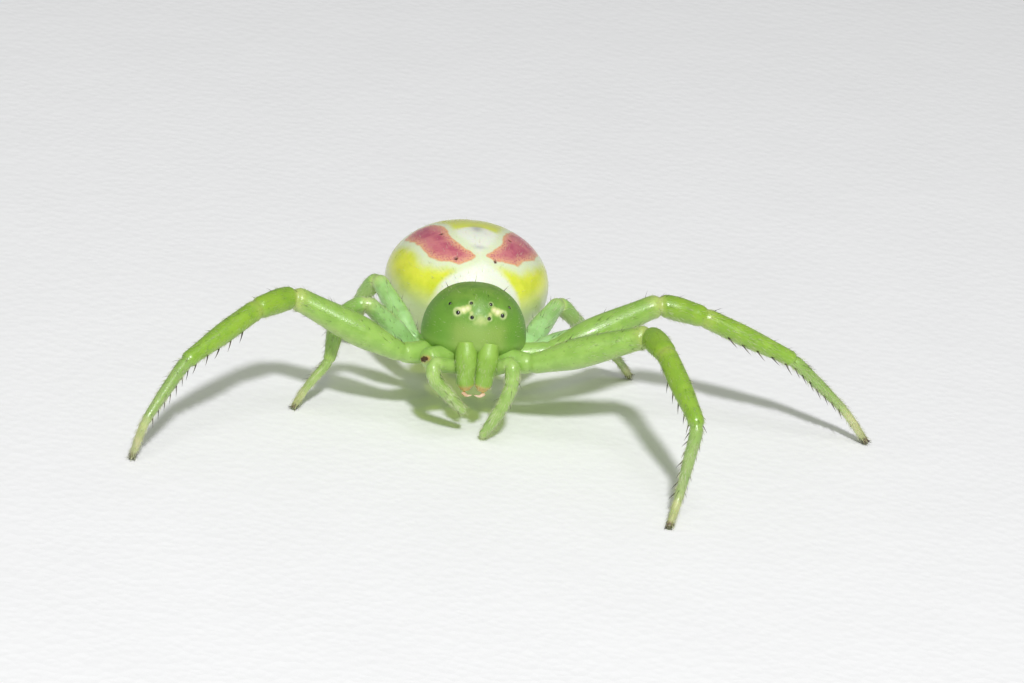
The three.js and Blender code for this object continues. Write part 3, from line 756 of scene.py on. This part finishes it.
jawLimbs = []
for sideName, mirror in (("left", 1), ("right", -1)):
    jawLimbs.append(makeJaw(sideName, mirror))
    makeFang(sideName, mirror)
print("jaws ready")

# Legs: lengths of the femur, patella, tibia, metatarsus and tarsus
legLengths = {
    "leg_1": [2.86, 1.1, 2.36, 1.78, 0.84],
    "leg_2": [2.86, 1.1, 2.36, 1.78, 1.0],
    "leg_3": [1.72, 0.78, 1.13, 0.84, 0.57],
    "leg_4": [2.0, 0.8, 1.2, 0.95, 0.62],
}
# Radius at the start, middle and end of the coxa and then of each segment
frontRadii = [(0.26, 0.27, 0.24), (0.24, 0.36, 0.27), (0.265, 0.285, 0.25), (0.235, 0.245, 0.185),
              (0.155, 0.14, 0.105), (0.1, 0.095, 0.075)]
rearRadii = [(0.21, 0.21, 0.19), (0.19, 0.255, 0.19), (0.19, 0.205, 0.18), (0.17, 0.19, 0.14),
             (0.115, 0.11, 0.09), (0.09, 0.09, 0.07)]
legKinds = {
    "front": {"radii": frontRadii, "bend": 0.34, "step": 0.042, "sides": 30},
    "rear": {"radii": rearRadii, "bend": 0.24, "step": 0.035, "sides": 26},
}
coxaRoots = {
    "leg_1": (0.62, -0.78, 1.86), "leg_2": (0.8, -0.3, 1.74),
    "leg_3": (0.8, 0.18, 1.64), "leg_4": (0.55, 0.68, 1.52),
}
jointGrooves = [0.1, 0.2, 0.1, 0.16, 0.1]  # depth of the soft ring at the end of each segment
grooveWidth = 0.055
# Swellings before and after each ring: height, place and width. Widths and places are for this radius
jointSwellings = [(0.03, -0.16, 0.08), (0.02, 0.14, 0.07)]
jointRadius = 0.25
# Root of each femur, then the heading from +X and the rise of each segment in degrees.
# A tarsus has a heading only, as its rise sets the tip on the floor.
legPoses = {
    "leg_1_left": ((1.29, -1.13, 1.9), [(-10, 23), (-77, 1), (-75, -20), (-137, -78), (-110,)]),
    "leg_2_left": ((1.81, -0.27, 1.89), [(16, 23), (-3, -12), (-7, -20), (-5, -40), (-6,)]),
    "leg_3_left": ((1.4, 0.1, 1.71), [(26, 11), (67, -31), (70, -30), (33, -45), (44,)]),
    "leg_4_left": ((1.35, 0.73, 1.57), [(62, 14), (35, -42), (69, -31), (61, -29), (58,)]),
    "leg_2_right": ((-1.69, -0.8, 1.82), [(174, 23), (-141, -5), (-136, -19), (-127, -36), (163,)]),
    "leg_3_right": ((-1.36, 0.25, 1.58), [(-165, 43), (168, -38), (178, -86), (-150, -45), (-158,)]),
    "leg_4_right": ((-1.24, 0.8, 1.48), [(119, 27), (128, -54), (95, -55), (107, -23), (108,)]),
}
tipHeight = 0.055
spineRows = [
    {"segment": 3, "pairs": 5, "from": 0.3, "to": 0.94, "size": 1.0},
    {"segment": 4, "pairs": 7, "from": 0.08, "to": 0.92, "size": 0.82},
]
spineSpread, spineLean = math.radians(50), math.radians(54)
underside = math.pi / 2


def legPath(name):
    root, pose = legPoses[name]
    points = [np.array(root)]
    for length, angles in zip(legLengths[name[:5]], pose):
        heading = math.radians(angles[0])
        toFloor = math.asin(max(-1, (tipHeight - points[-1][2]) / length))
        rise = math.radians(angles[1]) if len(angles) > 1 else toFloor
        step = (math.cos(rise) * math.cos(heading), math.cos(rise) * math.sin(heading), math.sin(rise))
        points.append(points[-1] + length * np.array(step))
    coxaRoot = np.array(coxaRoots[name[:5]]) * (np.sign(root[0]), 1, 1)
    return [coxaRoot, *points]


def legRadius(leg, run):
    corners, radii = leg["limb"]["corners"], leg["radii"]
    stations, values = [], []
    for index, (start, middle, end) in enumerate(radii):
        low, high = corners[index], corners[index + 1]
        stations += [low + 0.03, low + 0.4 * (high - low), high - 0.03]
        values += [start, middle, end]
    radius = smoothBetween(run, stations, values)
    for index, depth in enumerate(jointGrooves):
        joint = corners[index + 1]
        scale = radii[index][2] / jointRadius
        radius = radius * (1 - depth * hump(run, joint, grooveWidth * scale))
        for height, place, width in jointSwellings:
            radius = radius * (1 + height * hump(run, joint + place * scale, width * scale))
    return radius


def spinePlaces(corners):
    runs, turns, sizes = [], [], []
    for row in spineRows:
        low, high = corners[row["segment"]], corners[row["segment"] + 1]
        count = 2 * row["pairs"]
        shares = np.linspace(row["from"], row["to"], row["pairs"])
        runs.append(np.repeat(low + (high - low) * shares, 2))
        bothSides = underside + np.tile([-spineSpread, spineSpread], row["pairs"])
        turns.append(bothSides + rng.normal(0, 0.06, count))
        sizes.append(row["size"] * (1 + rng.normal(0, 0.06, count)))
    return np.concatenate(runs), np.concatenate(turns), np.concatenate(sizes)


# Rings along a limb, closer together near its tip, and how far the tip's rounding leaves each of them
def roundTip(end, step, tip):
    runs = np.concatenate([np.arange(0, end - tip["start"], step), end - np.array(tip["rings"])])
    inward = 1 - np.clip((end - runs) / tip["length"], 0, 1)
    return runs, np.sqrt(1 - inward ** 2 * tip["depth"])


footTip = {"start": 0.07, "rings": [0.06, 0.04, 0.022, 0.008, 0.0], "length": 0.075, "depth": 0.75}
socketWidth = 0.035


def makeLeg(name):
    kind = "front" if name[:5] in ("leg_1", "leg_2") else "rear"
    style = legKinds[kind]
    limb = makeLimb(legPath(name), style["bend"])
    leg = {"limb": limb, "radii": style["radii"], "kind": kind}
    runs, rounding = roundTip(limb["corners"][-1], style["step"], footTip)
    points, faces, run, back = tubeSkin(limb, runs, legRadius(leg, runs) * rounding, style["sides"])
    points[:, 2] = np.maximum(points[:, 2], 0.0)
    socket = np.zeros(len(points))
    if kind == "front":
        leg["spines"] = spinePlaces(limb["corners"])
        spineRun, spineTurn, _ = leg["spines"]
        for seat in limbPoint(limb, spineRun, spineTurn, legRadius(leg, spineRun))[0]:
            socket = np.maximum(socket, humpAt(points, seat, socketWidth))
    station = np.interp(run, limb["corners"], np.arange(len(limb["corners"])))
    nodes = [f"{name}_{part}" for part in ("coxa", "femur", "tibia", "foot")]
    addPiece(f"{name}_skin", f"{kind}_leg", f"{kind}Leg", points, faces, *nodes, run=station, back=back,
             socket=socket)
    return leg


legs = [makeLeg(name) for name in legPoses]
print("legs ready")

# The lost leg: its coxa, drawn in round a dry scab
stump = {
    "end": (-1.2, -1.2, 1.88), "radius": 0.25, "tone": 0.6,
    "scabSize": (0.12, 0.06, 0.03), "scabTilt": 0.55, "scabSunk": 0.004,
}


def makeStump():
    limb = makeLimb([np.array(coxaRoots["leg_1"]) * (-1, 1, 1), stump["end"]], 0)
    end = limb["run"][-1]
    runs = end * np.concatenate([np.linspace(0, 0.8, 40), np.linspace(0.82, 1, 16)])
    share = runs / end
    drawnIn = np.sqrt(1 - 0.93 * smoothStep(0.78, 1.06, share) ** 2)
    radius = stump["radius"] * (1 + 0.05 * hump(share, 0.7, 0.1)) * drawnIn
    points, faces, run, back = tubeSkin(limb, runs, radius, 40, close=0.0)

    along = limb["along"][-1]
    across = unit(limb["side"][-1] - stump["scabTilt"] * limb["dorsal"][-1])
    axes = np.array([across, unit(np.cross(along, across)), along])
    centre = np.array(stump["end"]) - stump["scabSunk"] * along
    size = np.array(stump["scabSize"])
    fromScab = np.hypot(*((points - centre) @ axes[:2].T / size[:2]).T)
    scar = smoothStep(1.9, 1.1, fromScab) * (run > end * 0.8)
    addPiece("leg_1_right_stump", "front_leg", "frontLeg", points, faces, "leg_1_right_coxa",
             run=np.full(len(points), stump["tone"]), back=back, scar=scar)

    ball, crustFaces = closeGlobe(ballPoints(np.zeros(3), (1, 1, 1)), 48, 30)
    x, y, z = ball.T
    lumps = 1 + 0.16 * np.sin(x * 5 + 1) * np.cos(y * 6) + 0.1 * np.sin(z * 9 + x * 7)
    crust = centre + (ball * size * lumps[:, None]) @ axes
    addPiece("leg_1_right_crust", "scab", "scab", crust, crustFaces, "leg_1_right_scab")


makeStump()

# Palps: the path from the maxilla to the tip, and the radius at each of its points
palp = {
    "paths": {
        "left": [(0.42, -0.98, 1.66), (0.82, -1.4, 2.0), (0.84, -1.6, 1.52), (0.64, -1.6, 0.91),
                 (0.31, -1.36, 0.11)],
        "right": [(-0.42, -0.98, 1.66), (-1.02, -1.42, 1.86), (-0.98, -1.58, 1.56), (-0.62, -1.45, 1.16),
                  (-0.14, -1.26, 0.66)],
    },
    "radii": [0.17, 0.175, 0.165, 0.15, 0.105], "bend": 0.16, "step": 0.03, "sides": 28,
    "tip": {"start": 0.12, "rings": [0.1, 0.07, 0.04, 0.015, 0.0], "length": 0.11, "depth": 0.8},
}


def palpRadius(limb, run):
    return smoothBetween(run, limb["corners"], palp["radii"])


def makePalp(sideName):
    limb = makeLimb(palp["paths"][sideName], palp["bend"])
    runs, rounding = roundTip(limb["run"][-1], palp["step"], palp["tip"])
    radius = palpRadius(limb, runs)
    for joint in limb["corners"][1:4]:
        radius = radius * (1 - 0.12 * hump(runs, joint, 0.04)) * (1 + 0.04 * hump(runs, joint - 0.1, 0.05))
    points, faces = tubeSkin(limb, runs, radius * rounding, palp["sides"])[:2]
    points[:, 2] = np.maximum(points[:, 2], 0.0)
    addPiece(f"palp_{sideName}_skin", "palp", "palp", points, faces, f"palp_{sideName}_upper",
             f"palp_{sideName}_lower")
    return limb


palpLimbs = [makePalp(sideName) for sideName in palp["paths"]]
print("palps ready")


# Spines and hairs: Geometry Nodes set a curved cone on each root
def makeBristleTree():
    inputs = {"Geometry": "Geometry", "Length": "Float", "Root Radius": "Float", "Bend": "Float",
              "Sides": "Int", "Segments": "Int", "Material": "Material"}
    tree, given = startGroup("bristleField", "GeometryNodeTree", inputs, {"Geometry": "Geometry"})
    cone = addNode(tree, "GeometryNodeMeshCone", {"fill_type": "TRIANGLE_FAN"}, Vertices=given["Sides"],
                   Side_Segments=given["Segments"], Radius_Top=0.1, Radius_Bottom=1.0, Depth=1.0)
    local = tree.nodes.new("GeometryNodeInputPosition").outputs[0]
    kept = addNode(tree, "GeometryNodeStoreNamedAttribute", {"data_type": "FLOAT_VECTOR"},
                   Geometry=cone.outputs["Mesh"], Name="strand", Value=local)
    parts = addNode(tree, "ShaderNodeSeparateXYZ", Vector=local).outputs
    squared = compute(tree, "MULTIPLY", parts["Z"], parts["Z"])
    curl = addNode(tree, "ShaderNodeCombineXYZ", X=compute(tree, "MULTIPLY", squared, given["Bend"]))
    bent = addNode(tree, "GeometryNodeSetPosition", Geometry=kept.outputs[0], Offset=curl.outputs[0])

    def named(name, kind="FLOAT_VECTOR"):
        node = addNode(tree, "GeometryNodeInputNamedAttribute", {"data_type": kind}, Name=name)
        return node.outputs["Attribute"]

    stand = addNode(tree, "FunctionNodeAlignRotationToVector", {"axis": "Z"}, Vector=named("lie"))
    turned = addNode(tree, "FunctionNodeAlignRotationToVector", {"axis": "X", "pivot_axis": "Z"},
                     Rotation=stand.outputs[0], Vector=named("fall"))
    size = named("size", "FLOAT")
    width = compute(tree, "MULTIPLY", size, given["Root Radius"])
    height = compute(tree, "MULTIPLY", size, given["Length"])
    scale = addNode(tree, "ShaderNodeCombineXYZ", X=width, Y=width, Z=height)
    placed = addNode(tree, "GeometryNodeInstanceOnPoints", Points=given["Geometry"], Instance=bent.outputs[0],
                     Rotation=turned.outputs[0], Scale=scale.outputs[0])
    real = addNode(tree, "GeometryNodeRealizeInstances", Geometry=placed.outputs[0])
    painted = addNode(tree, "GeometryNodeSetMaterial", Geometry=real.outputs[0], Material=given["Material"])
    addNode(tree, "NodeGroupOutput", Geometry=painted.outputs[0])
    return tree


bristleTree = makeBristleTree()
bristleInputs = {item.name: item.identifier for item in bristleTree.interface.items_tree
                 if item.in_out == "INPUT"}
tuftPatch = 0.003  # width of one bristle's patch in its UV map
rootSink = 0.006


def readVectors(mesh, name):
    values = np.empty(len(mesh.vertices) * 3, dtype=np.float32)
    mesh.attributes[name].data.foreach_get("vector", values)
    return values.reshape(-1, 3)


def growBristles(name, slot, material, roots, length, radius, bend=0.3, sides=3, segments=2):
    fields = [np.concatenate(field) for field in zip(*roots)]
    position, lie, fall, size, rootPlace = fields
    # A bristle whose tip would go below the floor is left out
    drop = size * length * np.maximum(-lie[:, 2] + abs(bend), 0)
    stays = position[:, 2] - drop > 0.0
    position, lie, fall, size, rootPlace = (field[stays] for field in fields)
    points = bpy.data.meshes.new(f"{name}_roots")
    points.from_pydata([tuple(point) for point in toFrame(position)], [], [])
    for key, values in (("size", size), ("lie", lie), ("fall", fall), ("rootPlace", rootPlace)):
        setField(points, key, values)
    field = addObject(f"{name}_field", points)
    modifier = field.modifiers.new("bristles", "NODES")
    modifier.node_group = bristleTree
    values = {"Length": length * mm, "Root Radius": radius * mm, "Bend": bend * length / radius,
              "Sides": sides, "Segments": segments, "Material": materials[material]}
    for key, value in values.items():
        modifier[bristleInputs[key]] = value
    mesh = bpy.data.meshes.new_from_object(field.evaluated_get(bpy.context.evaluated_depsgraph_get()))
    bpy.data.objects.remove(field)
    corners = np.empty(len(mesh.loops), dtype=np.int32)
    mesh.loops.foreach_get("vertex_index", corners)
    strand, place = readVectors(mesh, "strand"), readVectors(mesh, "rootPlace")
    acrossPatch = np.arctan2(strand[:, 1], strand[:, 0]) / (2 * math.pi)
    patch = place[:, :2] + tuftPatch * np.stack([acrossPatch, strand[:, 2] - 0.5], axis=1)
    mesh.uv_layers.new(name="OFBake").data.foreach_set("uv", patch[corners].astype(np.float32).ravel())
    placePiece(name, slot, mesh)
    print(name, len(position), "roots,", len(mesh.polygons), "faces")


def leanOver(outward, toward, lean):
    lean = np.broadcast_to(lean, len(outward))[:, None]
    return unit(outward * np.cos(lean) + toward * np.sin(lean))


# The roots of a coat on a limb or a globe, how each bristle lies and falls, its size and its UV place
def limbRoots(limb, run, turn, radius, lean, size, column, sink=rootSink):
    position, outward, along = limbPoint(limb, run, turn, radius - sink)
    first, columns = column
    across = (first + 0.05 + 0.9 * (turn / (2 * math.pi) % 1)) / columns
    upward = 0.02 + 0.96 * run / limb["run"][-1]
    place = np.stack([across, upward, np.zeros(len(run))], axis=1)
    return position, leanOver(outward, along, lean), along - 0.2 * outward, size * np.ones(len(run)), place


def globeRoots(pointsAt, longitude, latitude, lean, size, toward=(0.0, 1.0, -0.2)):
    outward = outwardAt(pointsAt, longitude, latitude)
    swept = np.asarray(toward) - outward * (outward @ np.asarray(toward))[:, None]
    position = pointsAt(longitude, latitude) - outward * rootSink
    across = longitude / (2 * math.pi) % 1
    place = np.stack([across, 0.5 + latitude / math.pi, np.zeros(len(across))], axis=1)
    return position, leanOver(outward, unit(swept), lean), swept, size * np.ones(len(across)), place


def vary(count, low, high):
    return low + (high - low) * rng.random(count)


def turnsRound(count):
    return rng.random(count) * 2 * math.pi


# Coats of the legs: the length and root radius of the longest bristle, and how it is shaped
legCoats = {
    "leg_spines": {"material": "spine", "length": 0.3, "radius": 0.02, "bend": 0.12, "sides": 8,
                   "segments": 5},
    "leg_hairs": {"material": "hair", "length": 0.12, "radius": 0.0042, "bend": 0.2},
    "leg_setae": {"material": "spine", "length": 0.18, "radius": 0.0055, "bend": 0.2, "sides": 4,
                  "segments": 3},
    "claw_tufts": {"material": "claw", "length": 0.075, "radius": 0.006},
    "claws": {"material": "claw", "length": 0.085, "radius": 0.012, "bend": -0.5, "sides": 8,
              "segments": 6},
}
# How many grow on one leg of each kind
hairCounts = {"front": 1700, "rear": 900}
setaCounts = {"front": 46, "rear": 30}
tuftCounts = {"front": 90, "rear": 60}
clawSpread, clawLean = 0.5, 1.1


def coatLeg(index, leg, coats):
    limb, corners, kind = leg["limb"], leg["limb"]["corners"], leg["kind"]
    column = (index, len(legs))

    def addRoots(part, run, turn, lean, size, **settings):
        radius = legRadius(leg, run)
        coats[part].append(limbRoots(limb, run, turn, radius, lean, size, column, **settings))

    if "spines" in leg:
        run, turn, size = leg["spines"]
        addRoots("leg_spines", run, turn, spineLean + rng.normal(0, 0.06, len(run)), size, sink=0.01)
    # Fine pale hairs, closest together towards the foot
    count = hairCounts[kind]
    run = corners[1] + (corners[-1] - corners[1] - 0.03) * rng.random(count) ** 0.6
    addRoots("leg_hairs", run, turnsRound(count), rng.normal(0.9, 0.14, count), vary(count, 0.6, 1.2))
    # A few longer dark ones along the back and sides
    count = setaCounts[kind]
    run = vary(count, corners[1], corners[-2])
    turn = -underside + rng.normal(0, 0.9, count)
    addRoots("leg_setae", run, turn, rng.normal(0.75, 0.12, count), vary(count, 0.6, 1.1))
    # Dark tufts under the claws
    count = tuftCounts[kind]
    run = corners[-1] - 0.02 - 0.22 * rng.random(count) ** 1.4
    turn = underside + rng.normal(0, 1.0, count)
    addRoots("claw_tufts", run, turn, rng.normal(0.85, 0.15, count), vary(count, 0.6, 1.1))
    clawTurns = -underside + clawSpread * np.array([-1, 1])
    addRoots("claws", np.full(2, corners[-1] - 0.035), clawTurns, clawLean, 1.0)


def growLegCoats():
    coats = {kind: {part: [] for part in legCoats} for kind in legKinds}
    for index, leg in enumerate(legs):
        coatLeg(index, leg, coats[leg["kind"]])
    for kind, grown in coats.items():
        for part, shape in legCoats.items():
            if grown[part]:
                slot = "foot" if shape["material"] == "claw" else f"{kind}_leg"
                growBristles(f"{kind}_{part}", slot, roots=grown[part], **shape)


def growPalpCoats():
    hairs, setae = [], []
    for index, limb in enumerate(palpLimbs):
        end, column = limb["run"][-1], (index, len(palpLimbs))
        count = 650
        run = 0.45 + (end - 0.5) * rng.random(count) ** 0.8
        hairs.append(limbRoots(limb, run, turnsRound(count), palpRadius(limb, run),
                               rng.normal(0.95, 0.12, count), vary(count, 0.6, 1.2), column))
        count = 12
        run = vary(count, 0.6, end - 0.2)
        setae.append(limbRoots(limb, run, turnsRound(count), palpRadius(limb, run), 0.75,
                               vary(count, 0.7, 1.2), column))
    growBristles("palp_hairs", "palp", "hair", hairs, 0.12, 0.004, 0.2)
    growBristles("palp_setae", "palp", "spine", setae, 0.17, 0.006, 0.2, 4, 3)


def growJawCoats():
    hairs, count = [], 160
    for index, limb in enumerate(jawLimbs):
        share = vary(count, 0.25, 0.93)
        hairs.append(limbRoots(limb, limb["run"][-1] * share, turnsRound(count), jawRadius(share), 0.9,
                               vary(count, 0.6, 1.1), (index, len(jawLimbs))))
    growBristles("jaw_hairs", "jaw", "hair", hairs, 0.1, 0.004, 0.2)


# Longitude and latitude of the few long setae on the carapace
headSetaPlaces = np.array([(-1.3, 1.1), (-1.85, 1.1), (-0.8, 0.75), (-2.35, 0.75), (1.57, 1.15), (1.2, 0.8),
                           (1.95, 0.8), (0.4, 1.0), (2.75, 1.0)])


def growBodyCoats():
    count = 260
    longitude, latitude = turnsRound(count), np.arcsin(vary(count, 0.05, 0.98))
    hairs = globeRoots(headPoints, longitude, latitude, rng.normal(1.0, 0.1, count),
                       vary(count, 0.5, 1.1))
    growBristles("head_hairs", "carapace", "hair", [hairs], 0.08, 0.0035, 0.2)
    setae = globeRoots(headPoints, *headSetaPlaces.T, 0.6, 1.0, toward=(0.0, -1.0, 0.3))
    growBristles("head_setae", "carapace", "spine", [setae], 0.2, 0.008, 0.2, 4, 3)

    count = 900
    longitude, latitude = turnsRound(count), np.arcsin(vary(count, -0.9, 0.98))
    hairs = globeRoots(abdomenPoints, longitude, latitude, rng.normal(0.95, 0.12, count),
                       vary(count, 0.5, 1.1))
    growBristles("abdomen_hairs", "abdomen", "hair", [hairs], 0.12, 0.0042, 0.2)


growLegCoats()
growPalpCoats()
growJawCoats()
growBodyCoats()
print("coats ready")

# Floor, light and camera
studio = {
    "floorRadius": 1.5, "floorSides": 64, "skyStrength": 0.26, "skyTone": (238, 240, 242),
    "aim": (0.9, 0.0, 1.0),
    # Azimuth and elevation in degrees, distance and width in millimetres, power in watts
    "lamps": {"keyLamp": (0, 47, 250, 22, 0.52), "topLamp": (10, 72, 120, 60, 0.02)},
}
view = {
    "azimuth": -7.8, "elevation": 22, "roll": 7, "distance": 120.0, "target": (0.93, 0.0, 1.98),
    "fieldWidth": 1024 / 43.0, "sensor": 36.0,
}


def makeFloor():
    def paint(tree, skin):
        return mixTones(tree, (243, 243, 243), (skin["Mottle"], (249, 249, 249)))

    paper = makeSkin("floorPaper", paint, (0.75, 0.75), relief=0.01, subsurface=0.0, coat=0.0, grain=0.25,
                     mottle=3.0)
    sides = studio["floorSides"]
    ring = [(studio["floorRadius"] * math.cos(turn), studio["floorRadius"] * math.sin(turn), 0)
            for turn in np.linspace(0, 2 * math.pi, sides, endpoint=False)]
    mesh = bpy.data.meshes.new("floor")
    mesh.from_pydata(ring, [], [tuple(range(sides))])
    mesh.materials.append(paper)
    floor = addObject("floor", mesh)


def makeSky():
    world = bpy.data.worlds.new("studio")
    world.use_nodes = True
    background = world.node_tree.nodes["Background"]
    background.inputs["Color"].default_value = srgb(*studio["skyTone"])
    background.inputs["Strength"].default_value = studio["skyStrength"]
    bpy.context.scene.world = world


def awayFrom(azimuth, elevation):
    azimuth, elevation = math.radians(azimuth), math.radians(elevation)
    level = math.cos(elevation)
    return Vector((math.sin(azimuth) * level, -math.cos(azimuth) * level, math.sin(elevation)))


def addLamp(name, azimuth, elevation, distance, width, power):
    lamp = bpy.data.lights.new(name, "AREA")
    lamp.shape = "DISK"
    lamp.size = width * mm
    lamp.energy = power
    away = awayFrom(azimuth, elevation)
    place = Vector(toFrame(studio["aim"])) + away * distance * mm
    addObject(name, lamp, Matrix.Translation(place) @ away.to_track_quat("Z", "Y").to_matrix().to_4x4())


def makeCamera():
    back = awayFrom(view["azimuth"], view["elevation"])
    roll = math.radians(view["roll"])
    right = (-back).cross(Vector((0, 0, 1))).normalized()
    upward = right.cross(-back)
    tiltedRight = right * math.cos(roll) + upward * math.sin(roll)
    tiltedUp = upward * math.cos(roll) - right * math.sin(roll)
    lens = bpy.data.cameras.new("camera")
    lens.sensor_width = view["sensor"]
    lens.lens = view["sensor"] * view["distance"] / view["fieldWidth"]
    lens.clip_start = 0.001
    lens.clip_end = 10
    place = Vector(toFrame(view["target"])) + back * view["distance"] * mm
    turn = Matrix((tiltedRight, tiltedUp, back)).transposed().to_4x4()
    bpy.context.scene.camera = addObject("camera", lens, Matrix.Translation(place) @ turn)


makeFloor()
makeSky()
for name, placing in studio["lamps"].items():
    addLamp(name, *placing)
makeCamera()
bpy.context.scene.view_settings.view_transform = "Standard"
print("studio ready")
